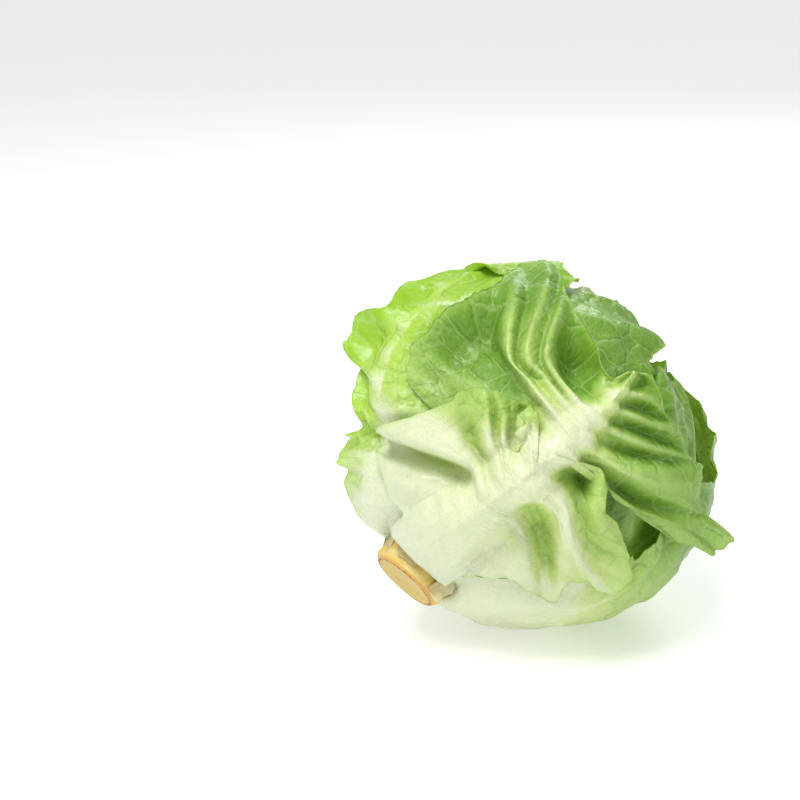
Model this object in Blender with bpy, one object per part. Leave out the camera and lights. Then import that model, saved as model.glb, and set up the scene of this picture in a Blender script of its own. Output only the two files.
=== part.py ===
"""Butterhead lettuce, cut at the stem and lying on its side on a small flat of its lowest leaf.

Metres, +Z up, standing on z = 0. The head is modelled about its own axis and then laid down: that axis
runs from the cut stem, low at the front left, up to the crown, high at the back right.
In the head's own frame the axis is +Z, the stem is at the -Z pole and azimuth 0 faces the viewer.
"""

import math

import bpy
import numpy as np
from mathutils import Matrix, Vector

MM = 0.001

# The head's globe and how it lies
GLOBE_ACROSS = 82 * MM
GLOBE_STEM_SIDE = 76 * MM
GLOBE_CROWN_SIDE = 72 * MM
AXIS_RISE = math.radians(34)
AXIS_TURN = math.radians(41)
VIEW_RISE = math.radians(20)
FLAT_DEPTH = 3.0 * MM

# The stem: a stub that stands out of the lowest leaves, with a core that runs up inside the head. Its
# profile gives radius and height above the cut face, and its scales are bulges (size, place, sharpness).
STEM_RADIUS = 16.0 * MM
STEM_CUT = -86 * MM
STEM_TOP = -44 * MM
STEM_CLEARANCE = 0.5 * MM
STEM_PROFILE = (
    (0.0, 0.5),
    (8.0, 0.3),
    (14.2, 0.0),
    (15.6, 0.8),
    (16.0, 3.0),
    (15.7, 7.0),
    (16.0, 12.0),
    (15.5, 22.0),
    (14.0, 32.0),
    (10.0, 40.0),
    (0.0, 42.0),
)
STEM_SCALES = ((1.6 * MM, 1.7, 6), (1.3 * MM, -1.3, 8))
SCALE_RINGS = (3, 4, 5)
STEM_AROUND = 36

# Leaves: thickness of the blade, and height and half width of the midrib that stands out of its back,
# from the base of the leaf to its tip
BLADE = 0.9 * MM
RIB_HEIGHT = (5.0, 6.0, 6.5, 6.0, 4.2, 1.4)
RIB_WIDTH = (15, 14, 12, 9.5, 6.5, 2.5)
PLAIN_STOUTNESS = 0.35
LEAF_GAP = 0.6 * MM
LAYER = 2.3
GOLDEN_ANGLE = 137.5
FIRST_TIP = 116.0
TIP_STEP = 4.5
LEAF_COUNT = 11

# The heart: how far below the globe its surface lies, and the low steps of its overlapping leaves
HEART_DEPTH = 25 * MM
HEART_GAP = 1.0 * MM
HEART_STEP = 1.4 * MM
HEART_LEVELS = 22
HEART_AROUND = 44

# How far the lowest point of the globe would sink into the floor if the lowest leaf weren't pressed flat,
# and how far up the head the leaves make room for the stem
LOWEST_LEAF_OUT = 3.0 * MM
HOLLOW_HEIGHT = 45 * MM

STEM_COLOUR = (0.62, 0.36, 0.10)
HEART_COLOUR = (0.72, 0.78, 0.36)
OUTER_COLOUR = (0.36, 0.60, 0.16)
INNER_COLOUR = (0.62, 0.74, 0.30)

# A plain leaf at equal steps of its margin from the tip (first) to the base (last): where its side veins
# leave the midrib, how long they are, how far they lean towards the tip and how much they bend
FOOT = (1.0, 0.93, 0.80, 0.62, 0.42, 0.20, 0.0)
REACH = (30, 46, 62, 68, 60, 44, 3.4)
RISE = (90, 55, 34, 22, 12, 4, 0)
BEND = (0, 22, 26, 24, 16, 0, -65)
BASE_FOOT = 3.0
RUFFLE = 2.2
RUFFLES = 7.5
STATIONS = 23

# The mesh of a leaf: columns along each half of its margin, and rows from the midrib to the margin
COLUMNS = 22
ROWS = (0.0, 0.12, 0.3, 0.5, 0.7, 0.86, 1.0)

# The crumpled front leaf. Each row is one side vein: where it leaves the midrib, then three points of it
# as (along the leaf, away from the midrib, out of the globe), the last one on the margin. Left half first.
FRONT_LEFT = (
    (150, (152, 0, 3), (153, 0, 2), (154, 0, 1)),
    (147, (152, 0, 2), (149, 2, 3), (146, 3, 3)),
    (142, (144, 1, 0), (144, 3, 1), (143, 6, 3)),
    (137, (138, 4, 0), (143, 7, -1), (145, 11, 2)),
    (133, (136, 5, -3), (146, 13, -7), (150, 17, 3)),
    (130, (137, 10, -9), (146, 20, -12), (155, 24, 3)),
    (127, (132, 15, -7), (142, 27, -8), (160, 33, 3)),
    (124, (128, 21, 4), (135, 31, 6), (167, 41, 4)),
    (121.5, (126, 21, 1), (137, 35, 2), (190, 50, 4)),
    (119.5, (124, 23, 4), (132, 38, 7), (192, 56, 5)),
    (117, (121, 25, 1), (129, 42, 1), (188, 64, 4)),
    (114, (118, 26, 5), (125, 43, 8), (170, 67, 5)),
    (110, (118, 34, -5), (131, 58, -10), (150, 68, 5)),
    (107, (114, 33, -7), (122, 63, -12), (137, 73, 5)),
    (103.5, (109, 32, -6), (110, 66, -11), (115, 77, 4)),
    (101, (106, 29, -5), (98, 59, -8), (92, 75, 2)),
    (99, (103, 26, -5), (91, 50, -8), (76, 65, 0)),
    (98, (102, 22, -6), (95, 34, -8), (80, 43, -7)),
    (97, (108, 18, 0), (108, 25, -4), (102, 32, -6)),
    (96.5, (110, 14, 5), (111, 17, 5), (113, 21, 3)),
    (96, (107, 13, 6), (107, 16, 8), (106, 19, 8)),
    (95.5, (105, 12, 5), (105, 14, 6), (105, 16, 5)),
    (95, (103, 11, 6), (102, 13, 8), (100, 15, 8)),
    (94.5, (101, 10, 4), (100, 11, 4), (99, 13, 4)),
    (93.5, (99, 9, 3), (97, 10, 3), (95, 11, 2)),
    (93, (96, 8, 0), (95, 9, -1), (93, 10, -2)),
    (92, (99, 12, -3), (105, 16, -4), (111, 20, -4)),
    (90, (96, 14, -2), (104, 21, 0), (110, 26, 2)),
    (87, (94, 14, 3), (101, 22, 4), (107, 31, 5)),
    (85, (91, 15, -1), (96, 23, 0), (106, 34, 5)),
    (83, (88, 14, 4), (93, 23, 6), (104, 37, 7)),
    (80, (81, 16, -5), (84, 26, -4), (98, 40, 5)),
    (77, (80, 16, 2), (81, 29, 4), (88, 41, 6)),
    (75, (78, 16, 4), (73, 32, 7), (70, 45, 8)),
    (73, (76, 15, 3), (67, 32, 7), (50, 50, 8)),
    (71, (71, 13, -6), (57, 32, -9), (38, 50, -5)),
    (67, (66, 13, -6), (54, 29, -5), (29, 48, -2)),
    (62, (63, 13, -1), (52, 26, 0), (32, 46, 2)),
    (55, (57, 12, 1), (46, 23, 2), (33, 35, 3)),
    (46, (47, 11, 1), (38, 19, 2), (27, 27, 3)),
    (36, (36, 8, 1), (33, 13, 2), (30, 17, 3)),
    (20, (20, 8, 0), (17, 13, 0), (14, 16, 1)),
    (3, (3, 1.1, 0), (3, 2.3, 0), (3, 3.4, 0)),
)
FRONT_RIGHT = (
    (150, (152, 0, 3), (153, 0, 2), (154, 0, 1)),
    (147, (156, 4, 1), (156, 5, 3), (158, 7, 4)),
    (143, (154, 7, -2), (156, 10, 0), (157, 14, 3)),
    (139, (145, 6, 3), (148, 11, 4), (152, 20, 3)),
    (135, (143, 9, -2), (149, 18, -2), (153, 27, 1)),
    (131, (136, 8, 3), (142, 19, 4), (153, 33, 3)),
    (127, (134, 12, -3), (144, 28, -3), (153, 41, 2)),
    (124, (128, 12, 3), (137, 28, 4), (153, 47, 4)),
    (121, (125, 16, -2), (138, 35, 0), (157, 53, 5)),
    (118, (120, 16, 3), (130, 33, 4), (147, 55, 5)),
    (115, (117, 17, 4), (125, 35, 4), (146, 62, 6)),
    (113, (116, 19, 1), (122, 38, 1), (144, 71, 8)),
    (111.5, (114, 22, -3), (120, 44, -3), (150, 77, 12)),
    (110, (112, 24, -5), (118, 47, -4), (150, 81, 18)),
    (109, (111, 24, -4), (114, 44, -2), (144, 86, 16)),
    (108.5, (110, 23, -2), (112, 41, 0), (142, 89, 14)),
    (108, (110, 23, -1), (111, 39, 1), (133, 83, 12)),
    (106.5, (109, 22, -1), (111, 34, 1), (120, 72, 6)),
    (105, (108, 22, -2), (110, 28, 0), (113, 52, 3)),
    (104, (108, 21, -5), (109, 26, -5), (109, 31, -2)),
    (103.5, (112, 15, 2), (112, 19, 4), (109, 24, 5)),
    (102, (110, 16, 0), (106, 23, 5), (101, 32, 6)),
    (100, (106, 19, -9), (100, 26, 3), (102, 39, 6)),
    (97, (102, 17, -4), (97, 31, 4), (97, 51, 7)),
    (94, (98, 16, 2), (91, 37, 1), (91, 60, 7)),
    (91, (96, 17, 4), (86, 41, 1), (79, 69, 6)),
    (89, (94, 17, 5), (83, 38, 5), (69, 75, 6)),
    (87, (92, 17, 5), (82, 35, 7), (69, 65, 5)),
    (85, (89, 17, 5), (82, 32, 6), (69, 59, 3)),
    (83.5, (88, 18, 4), (81, 31, 5), (66, 52, 3)),
    (82, (85, 19, 1), (76, 34, 2), (59, 53, 3)),
    (80, (79, 21, -7), (69, 38, -5), (47, 57, 3)),
    (77, (74, 21, -9), (64, 38, -6), (45, 52, 3)),
    (74, (72, 19, -7), (62, 34, -3), (47, 46, 4)),
    (70, (68, 17, -3), (62, 29, 1), (48, 37, 4)),
    (64, (64, 15, 0), (57, 24, 2), (47, 30, 4)),
    (54, (53, 14, 0), (48, 20, 2), (39, 23, 4)),
    (42, (39, 12, 0), (34, 16, 1), (30, 19, 3)),
    (22, (22, 6, 0), (20, 10, 0), (18, 14, 0)),
    (3, (3, 1.1, 0), (3, 2.3, 0), (3, 3.4, 0)),
)
LEFT_LEAF = (
    (173, (169, -6, 0), (165, -12, 2), (162, -17, 4)),
    (170, (167, -6, 2), (164, -12, 5), (162, -17, 8)),
    (167, (164, -5, 2), (162, -10, 7), (160, -14, 11)),
    (163, (161, -4, 2), (158, -7, 6), (156, -10, 10)),
    (158, (158, -1, 1), (157, -2, 2), (157, -3, 5)),
    (152, (153, 2, 0), (154, 4, 0), (155, 6, 3)),
    (146, (147, 4, 1), (148, 9, 3), (149, 12, 4)),
    (140, (140, 5, 2), (140, 9, 5), (141, 13, 6)),
    (134, (134, 5, 1), (134, 9, 4), (134, 13, 9)),
    (128, (128, 3, 0), (127, 6, 3), (127, 9, 11)),
    (122, (122, 3, 2), (121, 6, 6), (121, 8, 11)),
    (116, (116, 4, 3), (116, 8, 9), (116, 11, 14)),
    (110, (111, 6, 2), (111, 12, 7), (112, 18, 16)),
    (104, (104, 7, 1), (105, 14, 4), (105, 19, 14)),
    (97, (98, 7, 2), (99, 14, 7), (100, 20, 14)),
    (91, (93, 7, 2), (95, 14, 6), (97, 20, 10)),
    (85, (89, 7, 1), (93, 13, 2), (96, 19, 5)),
    (79, (82, 7, 0), (86, 13, 0), (88, 18, 5)),
    (74, (77, 6, 1), (79, 12, 4), (82, 17, 8)),
    (69, (71, 5, 2), (73, 9, 5), (75, 13, 6)),
    (65, (66, 6, 1), (68, 11, 3), (69, 16, 6)),
    (62, (64, 7, 1), (65, 13, 4), (66, 19, 12)),
    (59, (61, 6, 2), (62, 12, 7), (64, 17, 14)),
    (56, (57, 8, 2), (58, 16, 6), (58, 24, 10)),
    (53, (53, 9, 1), (53, 17, 5), (53, 24, 12)),
    (49, (49, 8, 0), (49, 16, 2), (50, 22, 6)),
    (43, (43, 9, 1), (43, 17, 4), (43, 25, 6)),
    (35, (34, 9, 1), (32, 17, 2), (31, 24, 5)),
    (27, (25, 7, 0), (23, 14, 2), (21, 19, 4)),
    (16, (16, 5, 0), (14, 8, 0), (12, 12, 0)),
    (3, (3, 1.1, 0), (3, 2.3, 0), (3, 3.4, 0)),
)
FRONT_BOW = (0, -6, -6, -3, 1, 2)
# How far the front leaf's midrib stands out beyond the globe, from its base to its tip
FRONT_STAND = (0, 1.5, 4, 5, 5, 4)
FRONT_RIB = 150
FRONT_AZIMUTH = 8.0
FRONT_COLUMNS = 46
LEFT_COLUMNS = 34
TIP_SHARES = (1.0, 0.7, 0.4, 0.15)

# What sets single leaves apart from the rule: the lowest leaf, the left leaf and two upper right ones
OWN = {
    1: dict(azimuth=120.0, tip=112, folds=3.0, fold=0.7, flare=-2.0, size=1.2, left_share=1.42, depth=-3.0),
    2: dict(azimuth=-56.0, tip=119, folds=4.0, flare=2.0, size=0.9, left_table=LEFT_LEAF, depth=-1.0),
    3: dict(azimuth=62.0, tip=118, flare=1.5, depth=7.0),
    5: dict(tip=138, flare=6.0, depth=5.0),
}


def blend(a, b, c, d, t):
    """A smooth curve through b and c at t from 0 to 1, with a before them and d after them."""
    return b + 0.5 * t * (c - a + t * (2 * a - 5 * b + 4 * c - d + t * (3 * (b - c) + d - a)))


def through(values, x):
    """A smooth curve through equally spaced values, read at x from 0 to 1."""
    values = np.asarray(values, float)
    place = np.clip(x, 0, 1) * (len(values) - 1)
    left = np.minimum(place.astype(int), len(values) - 2)
    padded = np.concatenate([[2 * values[0] - values[1]], values, [2 * values[-1] - values[-2]]])
    return blend(*(padded[left + i] for i in range(4)), place - left)


def ease(x, low, high):
    """0 below low, 1 above high and smooth between them."""
    t = np.clip((x - low) / (high - low), 0, 1)
    return t * t * (3 - 2 * t)


def sculpted_net(table, stand):
    """The net of a leaf half, from a table of side veins and how far the midrib stands out."""
    net = np.array([[(foot, 0, 0), *points] for foot, *points in table], float)
    net[:, 0, 2] = through(stand, net[:, 0, 0] / net[0, 0, 0])
    return net


def plain_net(draw, rib, size, folds, depth, flare):
    """The net of a plain leaf half: side veins with folds along them and a margin that flares."""
    k = np.linspace(0, 1, STATIONS)
    foot = BASE_FOOT + (rib - BASE_FOOT) * through(FOOT, k)
    wobble = 1 + 0.07 * draw.standard_normal(STATIONS) * (k > 0) * (k < 1)
    reach = through(REACH, k) * wobble
    reach[:-1] *= size
    rise = np.radians(through(RISE, k))
    bend = np.radians(through(BEND, k))
    free = ease(k, 0.0, 0.12) * ease(1 - k, 0.0, 0.25)
    turn = 2 * math.pi * folds * k + draw.uniform(0, 2 * math.pi)
    strength = depth * through(draw.uniform(0.6, 1.4, 7), k) * free
    outward = flare * through(draw.uniform(0, 1, 8), k) * ease(1 - k, 0.0, 0.3)
    ruffle = RUFFLE * through(draw.uniform(0.4, 1.6, 9), k) * ease(1 - k, 0.0, 0.35)
    ruffle *= np.sin(2 * math.pi * RUFFLES * k + draw.uniform(0, 2 * math.pi))
    hollow_out = through(draw.uniform(-1.5, 1.5, 6), k) * free
    net = np.zeros((STATIONS, 4, 3))
    for level in range(4):
        p = level / 3
        chord = p * reach * np.sinc(bend * p / 2 / math.pi)
        heading = rise + bend * p / 2
        fold = (0, 0.55, 1.0, 0.9)[level] * strength * np.sin(turn + 0.35 * level)
        lift = (0, 0.0, 0.15, 1.0)[level] * (outward + ruffle) + (0, 0.7, 1.0, 0.5)[level] * hollow_out
        net[:, level] = np.stack([foot + chord * np.sin(heading), chord * np.cos(heading), fold + lift], -1)
    return net


class Leaf:
    """The design of one leaf. Lengths are in millimetres, angles in degrees."""

    def __init__(
        self,
        number,
        azimuth,
        tip=104.0,
        size=1.0,
        left_share=1.0,
        folds=5.0,
        fold=2.4,
        flare=5.0,
        depth=None,
        left_table=None,
    ):
        draw = np.random.default_rng(100 + number)
        self.number = number
        self.azimuth = azimuth
        self.depth = LAYER * number if depth is None else depth
        self.radius = GLOBE_ACROSS / MM - self.depth
        self.rib = math.radians(tip) * self.radius
        self.bow = draw.uniform(-4, 4, 6) * (0, 0.4, 0.8, 1, 1, 1)
        self.left = plain_net(draw, self.rib, size * left_share, folds, fold, flare)
        self.right = plain_net(draw, self.rib, size, folds, fold, flare)
        self.columns = COLUMNS
        self.stoutness = PLAIN_STOUTNESS
        if left_table:
            self.left = sculpted_net(left_table, (0, 0))
            self.columns = LEFT_COLUMNS
        # Both halves end in the same tip
        heights = self.left[0, :, 2].copy()
        for net in (self.left, self.right):
            for station, share in enumerate(TIP_SHARES):
                net[station, :, 2] += share * (heights - net[station, :, 2])


def front_leaf():
    """The leaf at the front, drawn vein by vein."""
    leaf = Leaf(0, FRONT_AZIMUTH)
    leaf.rib = FRONT_RIB
    leaf.bow = np.array(FRONT_BOW, float)
    leaf.left = sculpted_net(FRONT_LEFT, FRONT_STAND)
    leaf.right = sculpted_net(FRONT_RIGHT, FRONT_STAND)
    leaf.columns = FRONT_COLUMNS
    leaf.stoutness = 1.0
    return leaf


def read_net(net, k, p):
    """The point of a leaf half at k along the margin, 0 at the tip, and p out from the midrib."""
    count, levels, _ = net.shape
    padded = np.concatenate([[2 * net[0] - net[1]], net, [2 * net[-1] - net[-2]]])
    padded = np.concatenate(
        [2 * padded[:, :1] - padded[:, 1:2], padded, 2 * padded[:, -1:] - padded[:, -2:-1]], axis=1
    )
    place_k, place_p = k * (count - 1), p * (levels - 1)
    i = np.minimum(place_k.astype(int), count - 2)
    j = np.minimum(place_p.astype(int), levels - 2)
    s, t = (place_k - i)[:, None], (place_p - j)[:, None]
    lines = [blend(*(padded[i + row, j + column] for column in range(4)), t) for row in range(4)]
    return blend(*lines, s)


def flat_leaf(leaf, t, p):
    """The sheet at t, from -1 to 1 round the margin past the tip, and reach p: along, across and out."""
    k = np.abs(t)
    left, right = read_net(leaf.left, k, p), read_net(leaf.right, k, p)
    along, aside, out = np.where((t < 0)[:, None], left, right).T
    across = np.where(t < 0, -aside, aside) + through(leaf.bow, along / leaf.rib)
    return along * MM, across * MM, out * MM


def rib_relief(along, across, leaf):
    """How far the midrib stands out of the back of the blade: a flat-topped band with steep flanks."""
    share = along / (leaf.rib * MM)
    aside = np.abs(across / MM - through(leaf.bow, share)) / through(RIB_WIDTH, share)
    height = leaf.stoutness * through(RIB_HEIGHT, share) * ease(share, 0.0, 0.1)
    return height * MM * (1 - ease(share, 0.96, 1.08)) * np.exp(-(aside**4))


def shared_feet(leaf, columns):
    """Places round the margin of both halves with the same feet on the midrib, close where either's are."""
    fine = np.linspace(0, 1, 4000)
    rising = []
    for net in (leaf.left, leaf.right):
        feet = np.minimum.accumulate(read_net(net, fine, np.zeros_like(fine))[:, 0])
        rising.append(1e-6 * np.arange(len(fine)) - feet)
    stops = np.sort(np.concatenate(rising))
    left, right = (np.interp(stops, half, fine) for half in rising)
    even = np.linspace(0, 1, columns + 1)
    return [np.interp(even, (left + right) / 2, half) for half in (left, right)]


def globe_radius(direction):
    """Radius of the globe in these directions: flatter towards the stem and the crown."""
    polar = np.where(direction[:, 2] < 0, GLOBE_STEM_SIDE, GLOBE_CROWN_SIDE)
    level = direction[:, 0] ** 2 + direction[:, 1] ** 2
    return 1 / np.sqrt(level / GLOBE_ACROSS**2 + direction[:, 2] ** 2 / polar**2)


def on_globe(leaf, along, across, out):
    """Points in the head's frame of sheet coordinates laid on the globe, as deep as the leaf's layer."""
    azimuth = math.radians(leaf.azimuth)
    sigma, lam = along / (leaf.radius * MM), across / (leaf.radius * MM)
    meridian = np.stack(
        [np.sin(sigma) * math.cos(azimuth), np.sin(sigma) * math.sin(azimuth), -np.cos(sigma)], -1
    )
    aside = np.array([-math.sin(azimuth), math.cos(azimuth), 0.0])
    direction = np.cos(lam)[:, None] * meridian + np.sin(lam)[:, None] * aside
    return direction * (globe_radius(direction) - leaf.depth * MM + out)[:, None]


class LeafMesh:
    """The middle sheet of one leaf as points and triangles, with its rim in order."""

    def __init__(self, leaf, columns, rows):
        self.leaf = leaf
        rows = np.asarray(rows, float)
        left, right = shared_feet(leaf, columns)
        t = np.concatenate([-left[:0:-1], right])
        grid_t, grid_p = np.meshgrid(t, rows, indexing="ij")
        count = len(rows)
        index = np.arange(grid_t.size).reshape(grid_t.shape)
        # Both halves share the midrib
        index[columns + 1 :, 0] = index[:columns, 0][::-1]
        faces = []
        for i in range(2 * columns):
            for j in range(count - 1):
                a, b, c, d = index[i, j], index[i + 1, j], index[i + 1, j + 1], index[i, j + 1]
                faces += [(a, b, c), (a, c, d)] if i <= columns else [(a, b, d), (b, c, d)]
        faces = [f for f in faces if len(set(f)) == 3]
        rim = [index[0, j] for j in range(count)]
        rim += [index[i, count - 1] for i in range(1, 2 * columns + 1)]
        rim += [index[2 * columns, j] for j in range(count - 2, 0, -1)]
        used, place = np.unique(np.array(faces), return_inverse=True)
        self.faces = place.reshape(-1, 3)
        new_place = {old: new for new, old in enumerate(used)}
        self.rim = [new_place[i] for i in rim]
        self.t, self.p = grid_t.ravel()[used], grid_p.ravel()[used]
        self.along, self.across, self.out = flat_leaf(leaf, self.t, self.p)
        self.points = on_globe(leaf, self.along, self.across, self.out)
        self.relief = rib_relief(self.along, self.across, leaf)
        if (self.normals(self.points) * self.points).sum() < 0:
            self.faces = self.faces[:, ::-1].copy()
            self.rim = self.rim[::-1]

    def normals(self, points):
        """Each point's normal, from the triangles round it."""
        corners = points[self.faces]
        flat = np.cross(corners[:, 1] - corners[:, 0], corners[:, 2] - corners[:, 0])
        found = np.zeros_like(points)
        for i in range(3):
            np.add.at(found, self.faces[:, i], flat)
        return found / np.maximum(np.linalg.norm(found, axis=1, keepdims=True), 1e-12)

    def skins(self, points):
        """The back of the leaf, with its midrib, and its inner face."""
        thick = self.normals(points) * BLADE / 2
        outward = points / np.linalg.norm(points, axis=1, keepdims=True)
        return points + thick + outward * self.relief[:, None], points - thick

    def solid(self):
        """Vertices and faces of the closed leaf."""
        back, inner = self.skins(self.points)
        count = len(self.points)
        faces = [tuple(f) for f in self.faces]
        faces += [tuple(int(i) + count for i in f[::-1]) for f in self.faces]
        for a, b in zip(self.rim, self.rim[1:] + self.rim[:1]):
            faces += [(a, b, a + count), (b, b + count, a + count)]
        return np.concatenate([back, inner]), faces


class Room:
    """How far out each direction is still free, as leaves are laid from the outermost inwards."""

    STEPS = 28
    SPREADS = 4
    SLOPE = 3.5 * MM
    BEYOND = 1.0

    def __init__(self):
        self.free = np.full((2 * self.STEPS + 1,) * 3, self.BEYOND)

    def cells(self, points):
        """The cell of each point's direction, and its distance from the middle of the head."""
        distance = np.linalg.norm(points, axis=-1)
        steps = np.rint(points / distance[..., None] * self.STEPS).astype(int) + self.STEPS
        return tuple(np.moveaxis(steps, -1, 0)), distance

    def over(self, points):
        """How far each point lies outside the free room."""
        cells, distance = self.cells(points)
        return distance - self.free[cells]

    def nearest(self, directions):
        """The smallest free distance around each direction."""
        around = self.free.copy()
        for axis in (0, 1, 2) * 2:
            around = np.minimum(around, np.minimum(np.roll(around, 1, axis), np.roll(around, -1, axis)))
        return around[self.cells(directions)[0]]

    def take(self, points, gap):
        """Closes the room above these points, and slopes it back to free room around them."""
        cells, distance = self.cells(points)
        taken = np.full_like(self.free, self.BEYOND)
        np.minimum.at(taken, cells, distance - gap)
        for step in range(self.SPREADS):
            rise = self.SLOPE if step else 0.0
            for axis in range(3):
                ahead, behind = np.roll(taken, 1, axis), np.roll(taken, -1, axis)
                taken = np.minimum(taken, np.minimum(ahead, behind) + rise)
        self.free = np.minimum(self.free, taken)


def sprinkle(points, faces, parts=5):
    """Points spread over every triangle, by face."""
    weights = [
        (i / parts, j / parts, 1 - i / parts - j / parts)
        for i in range(parts + 1)
        for j in range(parts + 1 - i)
    ]
    return np.einsum("wk,fkc->fwc", np.array(weights), points[faces])


def tuck(mesh, room, rounds=14):
    """Pushes a leaf in towards the middle of the head until it lies inside the free room."""
    sides = mesh.faces[:, [0, 1, 1, 2, 2, 0]].reshape(-1, 2)
    edges = np.unique(np.sort(sides, axis=1), axis=0)
    degree = np.bincount(edges.ravel(), minlength=len(mesh.points))
    push = np.zeros(len(mesh.points))
    start = np.linalg.norm(mesh.points, axis=1)
    direction = mesh.points / start[:, None]
    for _ in range(rounds):
        over = np.zeros(len(push))
        for skin in mesh.skins(direction * (start - push)[:, None]):
            worst = room.over(sprinkle(skin, mesh.faces)).max(axis=1)
            for i in range(3):
                np.maximum.at(over, mesh.faces[:, i], worst)
        if over.max() < 1e-5:
            break
        push += over
        around = np.zeros_like(push)
        np.add.at(around, edges[:, 0], push[edges[:, 1]])
        np.add.at(around, edges[:, 1], push[edges[:, 0]])
        push = np.maximum(push, 0.9 * around / degree)
    mesh.points = direction * (start - push)[:, None]
    return over.max()


def hollow(points, hole):
    """Opens the middle of the leaves round the stem, without changing how they lie on each other."""
    across = np.hypot(points[:, 0], points[:, 1])
    below = ease(-points[:, 2], 0.0, HOLLOW_HEIGHT)
    scale = (across + below * hole * np.exp(-across / hole)) / np.maximum(across, 1e-9)
    return points * np.stack([scale, scale, np.ones_like(scale)], -1)


def lie_down():
    """The turn that takes the head's frame to the world."""
    level = math.cos(AXIS_RISE)
    axis = Vector((level * math.cos(AXIS_TURN), level * math.sin(AXIS_TURN), math.sin(AXIS_RISE)))
    viewer = Vector((0, -math.cos(VIEW_RISE), math.sin(VIEW_RISE)))
    front = (viewer - axis * viewer.dot(axis)).normalized()
    return Matrix((front, axis.cross(front), axis)).transposed()


def plan_leaves():
    """The design of every leaf: each at the golden angle from the last and reaching a little further up."""
    leaves = [front_leaf()]
    for number in range(1, LEAF_COUNT):
        azimuth = (FRONT_AZIMUTH + GOLDEN_ANGLE * number) % 360
        own = dict(azimuth=azimuth, tip=FIRST_TIP + TIP_STEP * number)
        own.update(OWN.get(number, {}))
        leaves.append(Leaf(number, **own))
    return leaves


def lay_leaves():
    """Every leaf from the outermost to the innermost, each tucked under those before it."""
    room = Room()
    meshes = []
    for leaf in plan_leaves():
        mesh = LeafMesh(leaf, leaf.columns, ROWS)
        if meshes:
            print(f"leaf {leaf.number} tucked, {tuck(mesh, room) / MM:.2f} mm over")
        inner = mesh.skins(mesh.points)[1]
        room.take(sprinkle(inner, mesh.faces).reshape(-1, 3), LEAF_GAP)
        meshes.append(mesh)
    return meshes, room


def floor_height():
    """How far the middle of the head stands above the floor it rests on."""
    return GLOBE_ACROSS + LOWEST_LEAF_OUT - FLAT_DEPTH


def to_world(points):
    """Takes points from the head's frame to the world."""
    turn = np.array(lie_down())
    return points @ turn.T + np.array([0.0, 0.0, floor_height()])


def press_flat(back, inner):
    """Presses what would lie below the floor onto it, with the blade keeping its thickness."""
    back[:, 2] = np.maximum(back[:, 2], 0.0)
    inner[:, 2] = np.maximum(inner[:, 2], BLADE)
    return back, inner


def leaf_solid(mesh):
    """Vertices in the world and faces of the closed leaf."""
    mesh.points = hollow(mesh.points, STEM_RADIUS + STEM_CLEARANCE)
    back, inner = mesh.skins(mesh.points)
    back, inner = press_flat(to_world(back), to_world(inner))
    return np.concatenate([back, inner]), mesh.solid()[1]


def round_faces(rings, around):
    """Triangles of a closed round body: a first point, rings of points and a last point."""
    last = 1 + rings * around
    faces = []
    for step in range(around):
        after = (step + 1) % around
        faces.append((0, 1 + after, 1 + step))
        faces.append((last, last - around + step, last - around + after))
        for ring in range(rings - 1):
            a, b = 1 + ring * around + step, 1 + ring * around + after
            faces += [(a, b, a + around), (b, b + around, a + around)]
    return faces


def stem_solid():
    """The stub with its cut face, scales left by trimmed leaves, and the core up inside the head."""
    points, faces = [], []
    for ring, (radius, height) in enumerate(STEM_PROFILE):
        if radius == 0:
            points.append((0.0, 0.0, STEM_CUT + height * MM))
            continue
        for step in range(STEM_AROUND):
            turn = 2 * math.pi * step / STEM_AROUND
            reach = radius * MM
            if ring in SCALE_RINGS:
                for size, place, sharpness in STEM_SCALES:
                    reach += size * max(0.0, math.cos(turn + place)) ** sharpness
            points.append((reach * math.cos(turn), reach * math.sin(turn), STEM_CUT + height * MM))
    return np.array(points), round_faces(len(STEM_PROFILE) - 2, STEM_AROUND)


def heart_solid(room):
    """The tight heart in the middle: overlapping young leaves seen only as low steps on a ball."""
    points = [(0, 0, -1.0)]
    for level in range(1, HEART_LEVELS):
        polar = math.pi * level / HEART_LEVELS
        for step in range(HEART_AROUND):
            turn = 2 * math.pi * step / HEART_AROUND
            across = math.sin(polar)
            points.append((across * math.cos(turn), across * math.sin(turn), -math.cos(polar)))
    direction = np.array(points + [(0, 0, 1.0)], float)
    turn = np.arctan2(direction[:, 1], direction[:, 0])
    polar = np.arccos(np.clip(direction[:, 2], -1, 1))
    steps = HEART_STEP * np.sin(3 * turn + 4 * polar) * np.sin(polar)
    radius = np.minimum(globe_radius(direction) - HEART_DEPTH + steps, room.nearest(direction) - HEART_GAP)
    # Towards the stem the heart ends just above the stem's core
    above_core = -(STEM_TOP + HEART_GAP) / np.maximum(-direction[:, 2], 1e-6)
    radius = np.where(direction[:, 2] < 0, np.minimum(radius, above_core), radius)
    points = hollow(direction * radius[:, None], STEM_RADIUS + STEM_CLEARANCE)
    return points, round_faces(HEART_LEVELS - 1, HEART_AROUND)


def paint(name, colour, roughness):
    """A plain material of this colour."""
    material = bpy.data.materials.new(name)
    material.use_nodes = True
    shader = material.node_tree.nodes["Principled BSDF"]
    shader.inputs["Base Color"].default_value = (*colour, 1.0)
    shader.inputs["Roughness"].default_value = roughness
    return material


def add_object(name, points, faces, colour, roughness):
    """Adds one solid of the head to the scene."""
    mesh = bpy.data.meshes.new(name)
    mesh.from_pydata([tuple(p) for p in points.tolist()], [], [tuple(int(i) for i in f) for f in faces])
    mesh.validate()
    mesh.shade_smooth()
    mesh.materials.append(paint(name, colour, roughness))
    thing = bpy.data.objects.new(name, mesh)
    bpy.context.collection.objects.link(thing)
    return thing


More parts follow.
